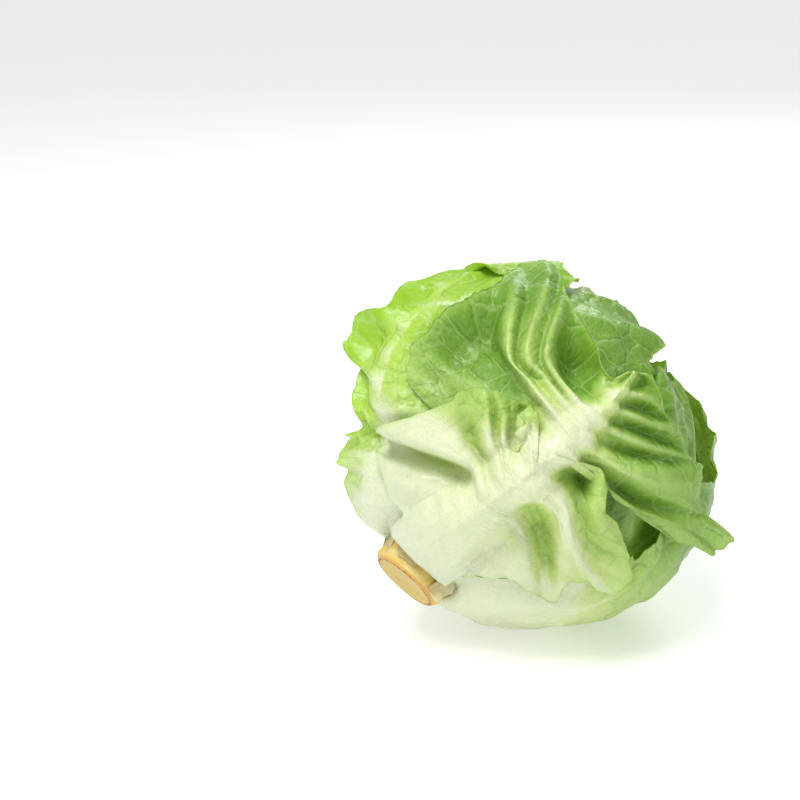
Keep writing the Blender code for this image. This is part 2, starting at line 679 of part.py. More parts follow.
def main():
    """Builds the head, with its box centred over the origin."""
    for thing in list(bpy.data.objects):
        bpy.data.objects.remove(thing, do_unlink=True)
    meshes, room = lay_leaves()
    points, faces = stem_solid()
    things = [("stem", to_world(points), faces, STEM_COLOUR, 0.6)]
    points, faces = heart_solid(room)
    things.append(("heart", to_world(points), faces, HEART_COLOUR, 0.5))
    for mesh in meshes:
        points, faces = leaf_solid(mesh)
        share = mesh.leaf.number / (LEAF_COUNT - 1)
        colour = [a + (b - a) * share for a, b in zip(OUTER_COLOUR, INNER_COLOUR)]
        things.append((f"leaf_{mesh.leaf.number + 1:02d}", points, faces, colour, 0.45))
    everything = np.concatenate([points for _, points, *_ in things])
    middle = (everything.min(axis=0) + everything.max(axis=0)) / 2 * (1, 1, 0)
    for name, points, faces, colour, roughness in things:
        add_object(name, points - middle, faces, colour, roughness)
    print(f"middle of the box moved by {middle / MM} mm")


if __name__ == "__main__":
    main()
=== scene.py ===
# %% [markdown]
# # A butterhead lettuce, leaf by leaf
# A lettuce head is a stack of thin curved sheets that hug a ball. Here each leaf is built in plain mesh
# code: a flat net of side veins is bent over a globe, folded, ruffled and tucked under the leaves outside
# it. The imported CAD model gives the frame, so the first step is to load it and keep its box.

# %% Load the frame
import math

import bpy
import numpy as np
from mathutils import Matrix, Vector


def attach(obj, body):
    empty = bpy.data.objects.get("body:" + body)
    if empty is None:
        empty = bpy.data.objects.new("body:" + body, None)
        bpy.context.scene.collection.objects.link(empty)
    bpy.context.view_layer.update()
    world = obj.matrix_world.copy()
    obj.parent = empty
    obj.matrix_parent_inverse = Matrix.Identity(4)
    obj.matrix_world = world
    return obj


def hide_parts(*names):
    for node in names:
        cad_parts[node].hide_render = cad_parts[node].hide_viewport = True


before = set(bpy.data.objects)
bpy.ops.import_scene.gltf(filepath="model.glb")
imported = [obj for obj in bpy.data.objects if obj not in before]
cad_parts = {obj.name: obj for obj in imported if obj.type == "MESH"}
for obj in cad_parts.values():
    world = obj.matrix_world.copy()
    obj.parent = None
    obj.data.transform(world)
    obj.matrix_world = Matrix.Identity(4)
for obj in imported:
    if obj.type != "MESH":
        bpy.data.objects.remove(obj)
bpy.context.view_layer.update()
MM = 0.001

# %% [markdown]
# ## The globe that the leaves hug
# The head is designed about its own axis, stem at the -Z pole, and laid down afterwards. That keeps every
# leaf's sums simple: one angle says where its midrib runs, another how far it reaches up.

# %% The head's sizes and how it lies
GLOBE_ACROSS = 82 * MM
GLOBE_STEM_SIDE = 76 * MM
GLOBE_CROWN_SIDE = 72 * MM
AXIS_RISE = math.radians(34)
AXIS_TURN = math.radians(41)
VIEW_RISE = math.radians(20)
LOWEST_LEAF_OUT = 3.0 * MM
FLAT_DEPTH = 3.0 * MM
FLOOR_DROP = GLOBE_ACROSS + LOWEST_LEAF_OUT - FLAT_DEPTH


def lie_down():
    """The turn that takes the head's frame to the world."""
    level = math.cos(AXIS_RISE)
    axis = Vector((level * math.cos(AXIS_TURN), level * math.sin(AXIS_TURN), math.sin(AXIS_RISE)))
    viewer = Vector((0, -math.cos(VIEW_RISE), math.sin(VIEW_RISE)))
    front = (viewer - axis * viewer.dot(axis)).normalized()
    return np.array(Matrix((front, axis.cross(front), axis)).transposed())


TURN = lie_down()
print("the crown points to", TURN[:, 2].round(2))

# %% [markdown]
# ## Smooth curves and closed sheets
# A leaf changes along its length: the rib thins, the side veins lean, the blade widens. A short row of
# numbers with a Catmull-Rom curve through it says that better than a formula would. Two more helpers
# turn a grid of points into faces, and a sheet into a closed skin.

# %% Helpers for curves and faces
GRAIN_CELLS = 64


def blend(a, b, c, d, t):
    """A smooth curve through b and c at t from 0 to 1, with a before them and d after them."""
    return b + 0.5 * t * (c - a + t * (2 * a - 5 * b + 4 * c - d + t * (3 * (b - c) + d - a)))


def longer(values):
    """The values with one more at either end, in line with the last two there."""
    return np.concatenate([[2 * values[0] - values[1]], values, [2 * values[-1] - values[-2]]])


def through(values, x):
    """A smooth curve through equally spaced values, read at x from 0 to 1."""
    place = np.clip(x, 0, 1) * (len(values) - 1)
    left = np.minimum(place.astype(int), len(values) - 2)
    padded = longer(np.asarray(values, float))
    return blend(*(padded[left + i] for i in range(4)), place - left)


def ease(x, low, high):
    """0 below low, 1 above high and smooth between them."""
    t = np.clip((x - low) / (high - low), 0, 1)
    return t * t * (3 - 2 * t)


def grain(x, y, seed):
    """Smooth noise from -1 to 1 over a plane, one bump to a unit, the same on every run."""
    table = np.random.default_rng(seed).uniform(-1, 1, (GRAIN_CELLS, GRAIN_CELLS))
    column, row = np.floor(x).astype(int), np.floor(y).astype(int)
    s, t = ease(x - column, 0, 1), ease(y - row, 0, 1)
    columns, rows = ((place % GRAIN_CELLS, (place + 1) % GRAIN_CELLS) for place in (column, row))
    (a, b), (c, d) = ([table[i, j] for i in columns] for j in rows)
    return (a * (1 - s) + b * s) * (1 - t) + (c * (1 - s) + d * s) * t


def quads(index):
    """The squares of a grid of point numbers."""
    return np.stack([index[:-1, :-1], index[1:, :-1], index[1:, 1:], index[:-1, 1:]], -1).reshape(-1, 4)


def shell_faces(faces, rim, count):
    """A closed sheet: these faces, the same ones count points further on, and a strip along the rim."""
    after = np.roll(rim, -1)
    strip = np.stack([rim, rim + count, after + count, after], -1)
    return np.concatenate([faces, faces[:, ::-1] + count, strip])


print("half way through 0, 1, 4:", through((0, 1, 4), np.array([0.5]))[0])

# %% [markdown]
# ## The net of a leaf
# A butterhead leaf is a broad shell: a thick pale midrib, and side veins that fan out to a round margin.
# Each half is a net: a row for each side vein, with four points along it. Plain leaves get theirs from the
# rule below, with folds along the veins and a margin that flares out.

# %% Sizes of a plain leaf
BASE_FOOT = 3.0
STATIONS = 23
FOOT = (1.0, 0.93, 0.80, 0.62, 0.42, 0.20, 0.0)
REACH = (30, 46, 62, 68, 60, 44, 3.4)
RISE = (90, 55, 34, 22, 12, 4, 0)
BEND = (0, 22, 26, 24, 16, 0, -65)
WOBBLE = 0.07
RUFFLE = 2.2
RUFFLES = 7.5
# How much of the folds, of the margin's flare and of the soft hollows shows at the four points of a vein
FOLDED = (0, 0.55, 1.0, 0.9)
FLARED = (0, 0, 0.15, 1.0)
HOLLOWED = (0, 0.7, 1.0, 0.5)
FOLD_LEAN = 0.35
VEIN_REGION = (0.04, 0.9)
LAYER = 2.3
GOLDEN_ANGLE = 137.5
LEAF_COUNT = 11


def plain_net(draw, rib, size, folds, depth, flare):
    """The net of a plain leaf half, in millimetres, and where its side veins reach the margin."""
    k = np.linspace(0, 1, STATIONS)
    foot = BASE_FOOT + (rib - BASE_FOOT) * through(FOOT, k)
    wobble = 1 + WOBBLE * draw.standard_normal(STATIONS) * (k > 0) * (k < 1)
    reach = through(REACH, k) * wobble
    reach[:-1] *= size
    rise = np.radians(through(RISE, k))
    bend = np.radians(through(BEND, k))
    free = ease(k, 0.0, 0.12) * ease(1 - k, 0.0, 0.25)
    phase = draw.uniform(0, math.tau)
    turn = math.tau * folds * k + phase
    strength = depth * through(draw.uniform(0.6, 1.4, 7), k) * free
    outward = flare * through(draw.uniform(0, 1, 8), k) * ease(1 - k, 0.0, 0.3)
    ruffle = RUFFLE * through(draw.uniform(0.4, 1.6, 9), k) * ease(1 - k, 0.0, 0.35)
    ruffle *= np.sin(math.tau * RUFFLES * k + draw.uniform(0, math.tau))
    hollow_out = through(draw.uniform(-1.5, 1.5, 6), k) * free
    net = np.zeros((STATIONS, 4, 3))
    for level, p in enumerate((0, 1 / 3, 2 / 3, 1)):
        chord = p * reach * np.sinc(bend * p / 2 / math.pi)
        heading = rise + bend * p / 2
        fold = FOLDED[level] * strength * np.sin(turn + FOLD_LEAN * level)
        lift = FLARED[level] * (outward + ruffle) + HOLLOWED[level] * hollow_out
        net[:, level] = np.stack([foot + chord * np.sin(heading), chord * np.cos(heading), fold + lift], -1)
    first = ((0.25 - phase / math.tau) % 1) / folds
    veins = first + np.arange(math.ceil(folds)) / folds
    return net, veins[(veins > VEIN_REGION[0]) & (veins < VEIN_REGION[1])]


# %% [markdown]
# ## The crumpled leaf at the front
# The leaf that faces the viewer is torn, folded over and cupped, so a rule can't give it. Its net is
# drawn vein by vein instead. Each bracket is one vein: where it leaves the midrib, then three points of it,
# the last one on the margin. A point says how far along the leaf, how far from the midrib and how far out
# it lies, in millimetres. The left leaf has such a table for its left half, which rolls in at the tip. The
# CAD solids follow the same tables, so the two agree.

# %% Side veins of the front leaf and the left leaf
FRONT_LEFT = (
    (150, 152, 0, 3, 153, 0, 2, 154, 0, 1), (147, 152, 0, 2, 149, 2, 3, 146, 3, 3),
    (142, 144, 1, 0, 144, 3, 1, 143, 6, 3), (137, 138, 4, 0, 143, 7, -1, 145, 11, 2),
    (133, 136, 5, -3, 146, 13, -7, 150, 17, 3), (130, 137, 10, -9, 146, 20, -12, 155, 24, 3),
    (127, 132, 15, -7, 142, 27, -8, 160, 33, 3), (124, 128, 21, 4, 135, 31, 6, 167, 41, 4),
    (121.5, 126, 21, 1, 137, 35, 2, 190, 50, 4), (119.5, 124, 23, 4, 132, 38, 7, 192, 56, 5),
    (117, 121, 25, 1, 129, 42, 1, 188, 64, 4), (114, 118, 26, 5, 125, 43, 8, 170, 67, 5),
    (110, 118, 34, -5, 131, 58, -10, 150, 68, 5), (107, 114, 33, -7, 122, 63, -12, 137, 73, 5),
    (103.5, 109, 32, -6, 110, 66, -11, 115, 77, 4), (101, 106, 29, -5, 98, 59, -8, 92, 75, 2),
    (99, 103, 26, -5, 91, 50, -8, 76, 65, 0), (98, 102, 22, -6, 95, 34, -8, 80, 43, -7),
    (97, 108, 18, 0, 108, 25, -4, 102, 32, -6), (96.5, 110, 14, 5, 111, 17, 5, 113, 21, 3),
    (96, 107, 13, 6, 107, 16, 8, 106, 19, 8), (95.5, 105, 12, 5, 105, 14, 6, 105, 16, 5),
    (95, 103, 11, 6, 102, 13, 8, 100, 15, 8), (94.5, 101, 10, 4, 100, 11, 4, 99, 13, 4),
    (93.5, 99, 9, 3, 97, 10, 3, 95, 11, 2), (93, 96, 8, 0, 95, 9, -1, 93, 10, -2),
    (92, 99, 12, -3, 105, 16, -4, 111, 20, -4), (90, 96, 14, -2, 104, 21, 0, 110, 26, 2),
    (87, 94, 14, 3, 101, 22, 4, 107, 31, 5), (85, 91, 15, -1, 96, 23, 0, 106, 34, 5),
    (83, 88, 14, 4, 93, 23, 6, 104, 37, 7), (80, 81, 16, -5, 84, 26, -4, 98, 40, 5),
    (77, 80, 16, 2, 81, 29, 4, 88, 41, 6), (75, 78, 16, 4, 73, 32, 7, 70, 45, 8),
    (73, 76, 15, 3, 67, 32, 7, 50, 50, 8), (71, 71, 13, -6, 57, 32, -9, 38, 50, -5),
    (67, 66, 13, -6, 54, 29, -5, 29, 48, -2), (62, 63, 13, -1, 52, 26, 0, 32, 46, 2),
    (55, 57, 12, 1, 46, 23, 2, 33, 35, 3), (46, 47, 11, 1, 38, 19, 2, 27, 27, 3),
    (36, 36, 8, 1, 33, 13, 2, 30, 17, 3), (20, 20, 8, 0, 17, 13, 0, 14, 16, 1),
    (3, 3, 1.1, 0, 3, 2.3, 0, 3, 3.4, 0),
)
FRONT_RIGHT = (
    (150, 152, 0, 3, 153, 0, 2, 154, 0, 1), (147, 156, 4, 1, 156, 5, 3, 158, 7, 4),
    (143, 154, 7, -2, 156, 10, 0, 157, 14, 3), (139, 145, 6, 3, 148, 11, 4, 152, 20, 3),
    (135, 143, 9, -2, 149, 18, -2, 153, 27, 1), (131, 136, 8, 3, 142, 19, 4, 153, 33, 3),
    (127, 134, 12, -3, 144, 28, -3, 153, 41, 2), (124, 128, 12, 3, 137, 28, 4, 153, 47, 4),
    (121, 125, 16, -2, 138, 35, 0, 157, 53, 5), (118, 120, 16, 3, 130, 33, 4, 147, 55, 5),
    (115, 117, 17, 4, 125, 35, 4, 146, 62, 6), (113, 116, 19, 1, 122, 38, 1, 144, 71, 8),
    (111.5, 114, 22, -3, 120, 44, -3, 150, 77, 12), (110, 112, 24, -5, 118, 47, -4, 150, 81, 18),
    (109, 111, 24, -4, 114, 44, -2, 144, 86, 16), (108.5, 110, 23, -2, 112, 41, 0, 142, 89, 14),
    (108, 110, 23, -1, 111, 39, 1, 133, 83, 12), (106.5, 109, 22, -1, 111, 34, 1, 120, 72, 6),
    (105, 108, 22, -2, 110, 28, 0, 113, 52, 3), (104, 108, 21, -5, 109, 26, -5, 109, 31, -2),
    (103.5, 112, 15, 2, 112, 19, 4, 109, 24, 5), (102, 110, 16, 0, 106, 23, 5, 101, 32, 6),
    (100, 106, 19, -9, 100, 26, 3, 102, 39, 6), (97, 102, 17, -4, 97, 31, 4, 97, 51, 7),
    (94, 98, 16, 2, 91, 37, 1, 91, 60, 7), (91, 96, 17, 4, 86, 41, 1, 79, 69, 6),
    (89, 94, 17, 5, 83, 38, 5, 69, 75, 6), (87, 92, 17, 5, 82, 35, 7, 69, 65, 5),
    (85, 89, 17, 5, 82, 32, 6, 69, 59, 3), (83.5, 88, 18, 4, 81, 31, 5, 66, 52, 3),
    (82, 85, 19, 1, 76, 34, 2, 59, 53, 3), (80, 79, 21, -7, 69, 38, -5, 47, 57, 3),
    (77, 74, 21, -9, 64, 38, -6, 45, 52, 3), (74, 72, 19, -7, 62, 34, -3, 47, 46, 4),
    (70, 68, 17, -3, 62, 29, 1, 48, 37, 4), (64, 64, 15, 0, 57, 24, 2, 47, 30, 4),
    (54, 53, 14, 0, 48, 20, 2, 39, 23, 4), (42, 39, 12, 0, 34, 16, 1, 30, 19, 3),
    (22, 22, 6, 0, 20, 10, 0, 18, 14, 0), (3, 3, 1.1, 0, 3, 2.3, 0, 3, 3.4, 0),
)
LEFT_LEAF = (
    (173, 169, -6, 0, 165, -12, 2, 162, -17, 4), (170, 167, -6, 2, 164, -12, 5, 162, -17, 8),
    (167, 164, -5, 2, 162, -10, 7, 160, -14, 11), (163, 161, -4, 2, 158, -7, 6, 156, -10, 10),
    (158, 158, -1, 1, 157, -2, 2, 157, -3, 5), (152, 153, 2, 0, 154, 4, 0, 155, 6, 3),
    (146, 147, 4, 1, 148, 9, 3, 149, 12, 4), (140, 140, 5, 2, 140, 9, 5, 141, 13, 6),
    (134, 134, 5, 1, 134, 9, 4, 134, 13, 9), (128, 128, 3, 0, 127, 6, 3, 127, 9, 11),
    (122, 122, 3, 2, 121, 6, 6, 121, 8, 11), (116, 116, 4, 3, 116, 8, 9, 116, 11, 14),
    (110, 111, 6, 2, 111, 12, 7, 112, 18, 16), (104, 104, 7, 1, 105, 14, 4, 105, 19, 14),
    (97, 98, 7, 2, 99, 14, 7, 100, 20, 14), (91, 93, 7, 2, 95, 14, 6, 97, 20, 10),
    (85, 89, 7, 1, 93, 13, 2, 96, 19, 5), (79, 82, 7, 0, 86, 13, 0, 88, 18, 5),
    (74, 77, 6, 1, 79, 12, 4, 82, 17, 8), (69, 71, 5, 2, 73, 9, 5, 75, 13, 6),
    (65, 66, 6, 1, 68, 11, 3, 69, 16, 6), (62, 64, 7, 1, 65, 13, 4, 66, 19, 12),
    (59, 61, 6, 2, 62, 12, 7, 64, 17, 14), (56, 57, 8, 2, 58, 16, 6, 58, 24, 10),
    (53, 53, 9, 1, 53, 17, 5, 53, 24, 12), (49, 49, 8, 0, 49, 16, 2, 50, 22, 6),
    (43, 43, 9, 1, 43, 17, 4, 43, 25, 6), (35, 34, 9, 1, 32, 17, 2, 31, 24, 5),
    (27, 25, 7, 0, 23, 14, 2, 21, 19, 4), (16, 16, 5, 0, 14, 8, 0, 12, 12, 0),
    (3, 3, 1.1, 0, 3, 2.3, 0, 3, 3.4, 0),
)
FRONT_BOW = (0, -6, -6, -3, 1, 2)
FRONT_STAND = (0, 1.5, 4, 5, 5, 4)
FRONT_RIB = 150
FRONT_VEINS_LEFT = (3, 7, 9, 11, 15, 22, 27, 29.5, 32.5, 38)
FRONT_VEINS_RIGHT = (3, 5, 7, 10, 16, 21, 26.5, 33.5, 36)


def sculpted_net(table, stand_out):
    """The net of a leaf half, from a table of side veins."""
    net = np.array([(foot, 0, 0, *points) for foot, *points in table], float).reshape(-1, 4, 3)
    net[:, 0, 2] = through(stand_out, net[:, 0, 0] / net[0, 0, 0])
    return net


print("the front leaf has", len(FRONT_LEFT) + len(FRONT_RIGHT), "rows of its net")


# %% [markdown]
# ## Every leaf's plan
# Each leaf stands 137.5 degrees round from the one before, the golden angle, as in a real head. A few outer
# leaves get their own place and size from the photograph.


# %% The plans
# The halves of a leaf meet at its tip, so the first veins take the left half's height there by these shares
TIP_SHARES = (1.0, 0.7, 0.4, 0.15)
PLAIN_GRID = (110, 44)
FRONT_GRID = (250, 64)
PLAIN_STOUTNESS = 0.35
FRONT_AZIMUTH = 8.0


class Leaf:
    """The design of one leaf. Lengths are in millimetres, angles in degrees."""

    def __init__(self, number, azimuth, tip=104.0, size=1.0, left_share=1.0, folds=5.0, fold=2.4,
                 flare=5.0, depth=None, left_table=None):
        draw = np.random.default_rng(100 + number)
        self.number = number
        self.azimuth = azimuth
        self.depth = LAYER * number if depth is None else depth
        self.radius = GLOBE_ACROSS / MM - self.depth
        self.rib = math.radians(tip) * self.radius
        self.bow = draw.uniform(-4, 4, 6) * (0, 0.4, 0.8, 1, 1, 1)
        self.left, self.veins_left = plain_net(draw, self.rib, size * left_share, folds, fold, flare)
        self.right, self.veins_right = plain_net(draw, self.rib, size, folds, fold, flare)
        if left_table:
            self.left = sculpted_net(left_table, (0, 0))
            self.veins_left = np.arange(1, len(left_table) - 3, 2) / (len(left_table) - 1)
        heights = self.left[0, :, 2].copy()
        for net in (self.left, self.right):
            for station, share in enumerate(TIP_SHARES):
                net[station, :, 2] += share * (heights - net[station, :, 2])
        self.stoutness = PLAIN_STOUTNESS
        self.columns, self.rows = PLAIN_GRID


def front_leaf():
    leaf = Leaf(0, FRONT_AZIMUTH)
    leaf.rib = FRONT_RIB
    leaf.bow = np.array(FRONT_BOW, float)
    leaf.left, leaf.right = (sculpted_net(table, FRONT_STAND) for table in (FRONT_LEFT, FRONT_RIGHT))
    leaf.veins_left = np.array(FRONT_VEINS_LEFT) / (len(FRONT_LEFT) - 1)
    leaf.veins_right = np.array(FRONT_VEINS_RIGHT) / (len(FRONT_RIGHT) - 1)
    leaf.stoutness = 1.0
    leaf.columns, leaf.rows = FRONT_GRID
    return leaf


OWN = {
    1: dict(azimuth=120.0, tip=112, folds=3.0, fold=0.7, flare=-2.0, size=1.2, left_share=1.42, depth=-3.0),
    2: dict(azimuth=-56.0, tip=119.0, folds=4.0, flare=2.0, size=0.9, left_table=LEFT_LEAF, depth=-1.0),
    3: dict(azimuth=62.0, tip=118, flare=1.5, depth=7.0),
    5: dict(tip=138, flare=6.0, depth=5.0),
}


def plan_leaves():
    leaves = [front_leaf()]
    for number in range(1, LEAF_COUNT):
        own = dict(azimuth=(FRONT_AZIMUTH + GOLDEN_ANGLE * number) % 360, tip=116 + 4.5 * number)
        own.update(OWN.get(number, {}))
        leaves.append(Leaf(number, **own))
    return leaves


LEAVES = plan_leaves()
print("azimuths", [round(leaf.azimuth) for leaf in LEAVES])

# %% [markdown]
# ## Reading the net, and laying it on the globe
# Any point of a leaf is read from its net with the same smooth curve, along a vein and then across the
# veins. The flat sheet is then wrapped: distances along the midrib become arcs up the globe.


# %% From net to globe
def read_net(net, k, p):
    """The point of a leaf half at k along the margin, 0 at the tip, and p out from the midrib."""
    count, levels, _ = net.shape
    padded = longer(longer(net).swapaxes(0, 1)).swapaxes(0, 1)
    place_k, place_p = k * (count - 1), p * (levels - 1)
    i = np.minimum(place_k.astype(int), count - 2)
    j = np.minimum(place_p.astype(int), levels - 2)
    s, t = (place_k - i)[:, None], (place_p - j)[:, None]
    lines = [blend(*(padded[i + row, j + column] for column in range(4)), t) for row in range(4)]
    return blend(*lines, s)


def flat_leaf(leaf, t, p):
    """Sheet millimetres (along, across, out) at margin parameter t, -1 to 1 past the tip, and reach p."""
    k = np.abs(t)
    left, right = read_net(leaf.left, k, p), read_net(leaf.right, k, p)
    along, aside, out = np.where((t < 0)[:, None], left, right).T
    return along, np.where(t < 0, -aside, aside) + through(leaf.bow, along / leaf.rib), out


def globe_radius(direction):
    """Radius of the globe in these directions: flatter towards the stem and the crown."""
    polar = np.where(direction[:, 2] < 0, GLOBE_STEM_SIDE, GLOBE_CROWN_SIDE)
    level = direction[:, 0] ** 2 + direction[:, 1] ** 2
    return 1 / np.sqrt(level / GLOBE_ACROSS**2 + direction[:, 2] ** 2 / polar**2)


def on_globe(leaf, along, across, out):
    """Points in the head's frame of a sheet laid on the globe, as deep as the leaf's layer."""
    azimuth = math.radians(leaf.azimuth)
    sigma, lam = along / leaf.radius, across / leaf.radius
    meridian = [np.sin(sigma) * math.cos(azimuth), np.sin(sigma) * math.sin(azimuth), -np.cos(sigma)]
    aside = np.array([-math.sin(azimuth), math.cos(azimuth), 0.0])
    direction = np.cos(lam)[:, None] * np.stack(meridian, -1) + np.sin(lam)[:, None] * aside
    return direction * (globe_radius(direction) + (out - leaf.depth) * MM)[:, None]


tip = flat_leaf(LEAVES[0], np.array([0.0]), np.array([1.0]))
print("the front leaf's tip is", round(float(tip[0][0])), "mm from its base")

# %% [markdown]
# ## Veins, blisters and frills
# Up close the blade isn't smooth. Side veins stand out of its back and fork towards the margin, the soft
# part between them puckers into low blisters, and the edge is longer than the leaf it edges, so it goes
# up and down in frills. Each is a height added to the sheet before it is wrapped.

# %% Fine relief of the blade
VEIN_HEIGHT = 1.1
VEIN_WIDTH = 1.5
VEIN_BAND = 3.6
FORK_SPREAD = 0.42
# A side vein and its two forks: how far each leans to a side, and how strong it is
FORKS = ((0.0, 1.0), (-1.0, 0.6), (0.8, 0.55))
# The blade is soft past these distances from the midrib and from the leaf's base
SOFT_ASIDE = (2, 16)
SOFT_ALONG = (15, 50)
BLISTER = 0.95
BLISTER_SIZE = 9.0
CREASE = 1.1
CREASES = 34
FRILL = 1.3
FRILLS = 15
RIB_HEIGHT = (5.0, 6.0, 6.5, 6.0, 4.2, 1.4)
RIB_WIDTH = (15, 14, 12, 9.5, 6.5, 2.5)


def rib_relief(along, across, leaf):
    """How far the midrib stands out of the back of the blade, in millimetres."""
    share = along / leaf.rib
    height = leaf.stoutness * through(RIB_HEIGHT, share) * (1 - ease(share, 0.96, 1.08))
    height = height * ease(share, 0.0, 0.1)
    aside = np.abs((across - through(leaf.bow, share)) / through(RIB_WIDTH, share))
    return height * (np.exp(-(aside**5)) - 0.18 * np.exp(-(((aside - 1.35) / 0.28) ** 2)))


def vein_map(leaf, t, p, widening=1.0):
    """How close each point is to a side vein or one of its forks, from 0 to 1."""
    k = np.abs(t)
    step = 1e-3
    here, there = flat_leaf(leaf, t, p), flat_leaf(leaf, np.where(t < 0, t - step, t + step), p)
    spacing = np.hypot(here[0] - there[0], here[1] - there[1]) / step
    strength = np.zeros_like(k)
    for half, veins in ((t < 0, leaf.veins_left), (t >= 0, leaf.veins_right)):
        gap = 1.0 / max(len(veins), 1)
        for place in veins:
            spread = FORK_SPREAD * gap * ease(p, 0.3, 1.0) * (1.2 * p)
            for lean, weight in FORKS:
                offset = (k - place - lean * spread) * spacing
                width = widening * VEIN_WIDTH * (1.35 - p)
                line = np.exp(-((offset / width) ** 2)) * weight * (1 - p) ** 0.5
                if lean:
                    line = line * ease(p, 0.3, 0.4)
                strength = np.where(half, np.maximum(strength, line), strength)
    return strength


def fine_relief(leaf, t, p, along, across, veins):
    """Height of the blade's own relief, in millimetres."""
    k = np.abs(t)
    seed = 10 * leaf.number
    soft = ease(np.abs(across), *SOFT_ASIDE) * ease(along, *SOFT_ALONG)
    x, y = along / BLISTER_SIZE, across / BLISTER_SIZE
    blister = grain(x, y, seed + 1) + 0.5 * grain(x * 2.1, y * 2.1, seed + 2)
    crease = grain(k * CREASES + 20 * (t > 0), p * 2.5, seed + 3)
    waves = np.sin(math.tau * FRILLS * k + 3 * grain(k * 9, t * 0 + (t > 0), seed + 4) + (t > 0))
    size = 0.45 + 0.55 * grain(k * 11, t * 0 + 7 * (t > 0), seed + 5)
    edge = ease(p, 0.72, 1.0) * ease(1 - k, 0.02, 0.25)
    return (
        BLISTER * soft * blister * (1 - veins)
        + CREASE * soft * crease * ease(p, 0.1, 0.5)
        + FRILL * edge * waves * size
        + VEIN_HEIGHT * veins
    )


print("a side vein stands out by", VEIN_HEIGHT, "mm")

# %% [markdown]
# ## One leaf as a closed sheet
# The middle of the sheet is a grid: columns run round the margin, rows from the midrib outwards, and the
# last rows come and go a little, as a torn margin does. It gets a back and an inner face half a thickness
# either way. Fleshy bases are thicker than the margin, which is thin enough to let light through.

# %% The leaf's mesh
BLADE = 0.62 * MM
BLADE_EDGE = 0.36 * MM
BASE_EXTRA = 1.0 * MM
NOTCH = 0.022
NOTCHES = 90


def shared_feet(leaf, columns):
    """Places round both halves' margins that share their feet on the midrib, close where either's are."""
    fine = np.linspace(0, 1, 4000)
    rising = []
    for net in (leaf.left, leaf.right):
        feet = np.minimum.accumulate(read_net(net, fine, np.zeros_like(fine))[:, 0])
        rising.append(1e-6 * np.arange(len(fine)) - feet)
    stops = np.sort(np.concatenate(rising))
    left, right = (np.interp(stops, half, fine) for half in rising)
    even = np.linspace(0, 1, columns + 1)
    return [np.interp(even, (left + right) / 2, half) for half in (left, right)]


def torn(leaf, t, p):
    """How far out each point really lies: the margin comes and goes a little, all along it."""
    k = NOTCHES * np.abs(t) + 30 * (t > 0)
    seed = 10 * leaf.number
    notch = grain(k, 0 * k, seed + 8) + 0.4 * grain(2.7 * k, 0 * k, seed + 9)
    return p * (1 + NOTCH * notch * ease(p, 0.6, 1.0) * ease(1 - np.abs(t), 0.0, 0.15))


class LeafMesh:
    """The middle sheet of one leaf as points and faces, with its rim in order."""

    def __init__(self, leaf):
        self.leaf = leaf
        columns, rows = leaf.columns, leaf.rows
        left, right = shared_feet(leaf, columns)
        steps = np.concatenate([-left[:0:-1], right])
        grid_t, grid_p = np.meshgrid(steps, np.linspace(0, 1, rows), indexing="ij")
        index = np.arange(grid_t.size).reshape(grid_t.shape)
        index[columns + 1 :, 0] = index[:columns, 0][::-1]
        squares = quads(index)
        rim = np.concatenate([index[0], index[1:, -1], index[-1, -2:0:-1]])
        used = np.unique(squares)
        place = np.zeros(grid_t.size, int)
        place[used] = np.arange(len(used))
        self.faces, self.rim = place[squares], place[rim]
        self.t, self.p = grid_t.ravel()[used], grid_p.ravel()[used]
        self.along, self.across, out = flat_leaf(leaf, self.t, torn(leaf, self.t, self.p))
        self.fold = out
        self.veins = vein_map(leaf, self.t, self.p)
        self.pale_and_highlit_bands = vein_map(leaf, self.t, self.p, VEIN_BAND)
        out = out + fine_relief(leaf, self.t, self.p, self.along, self.across, self.veins)
        self.points = on_globe(leaf, self.along, self.across, out)
        self.rib = rib_relief(self.along, self.across, leaf)
        thick = BLADE + (BLADE_EDGE - BLADE) * ease(self.p, 0.6, 1.0)
        self.half = (thick + BASE_EXTRA * (1 - ease(self.along, 10, 45)) * ease(self.along, 3, 12)) / 2
        if (self.normals(self.points) * self.points).sum() < 0:
            self.faces = self.faces[:, ::-1].copy()
            self.rim = self.rim[::-1].copy()

    def normals(self, points):
        """Each point's normal, from the diagonals of the faces round it."""
        corners = points[self.faces]
        flat = np.cross(corners[:, 2] - corners[:, 0], corners[:, 3] - corners[:, 1])
        found = np.zeros_like(points)
        for i in range(4):
            np.add.at(found, self.faces[:, i], flat)
        return found / np.maximum(np.linalg.norm(found, axis=1, keepdims=True), 1e-12)

    def skins(self, points):
        """The back of the leaf, with its midrib, and its inner face."""
        thick = self.normals(points) * self.half[:, None]
        outward = points / np.linalg.norm(points, axis=1, keepdims=True)
        return points + thick + outward * (self.rib * MM)[:, None], points - thick


print("a leaf's blade is", BLADE / MM, "mm thick and its edge", BLADE_EDGE / MM)


# %% [markdown]
# ## Tucking leaves under each other
# Leaves may not cut through each other. They are laid from the outermost inwards. A map keeps how far out
# each direction is still free, and each new leaf is pushed towards the middle until it fits under the
# ones already there. That keeps the folds that the outer leaf leaves room for.


# %% Room under the outer leaves
def lowered(values, rise=0.0):
    """Each cell's value, or its lowest neighbour's plus a rise where that is less."""
    for axis in range(3):
        beside = np.minimum(np.roll(values, 1, axis), np.roll(values, -1, axis))
        values = np.minimum(values, beside + rise)
    return values


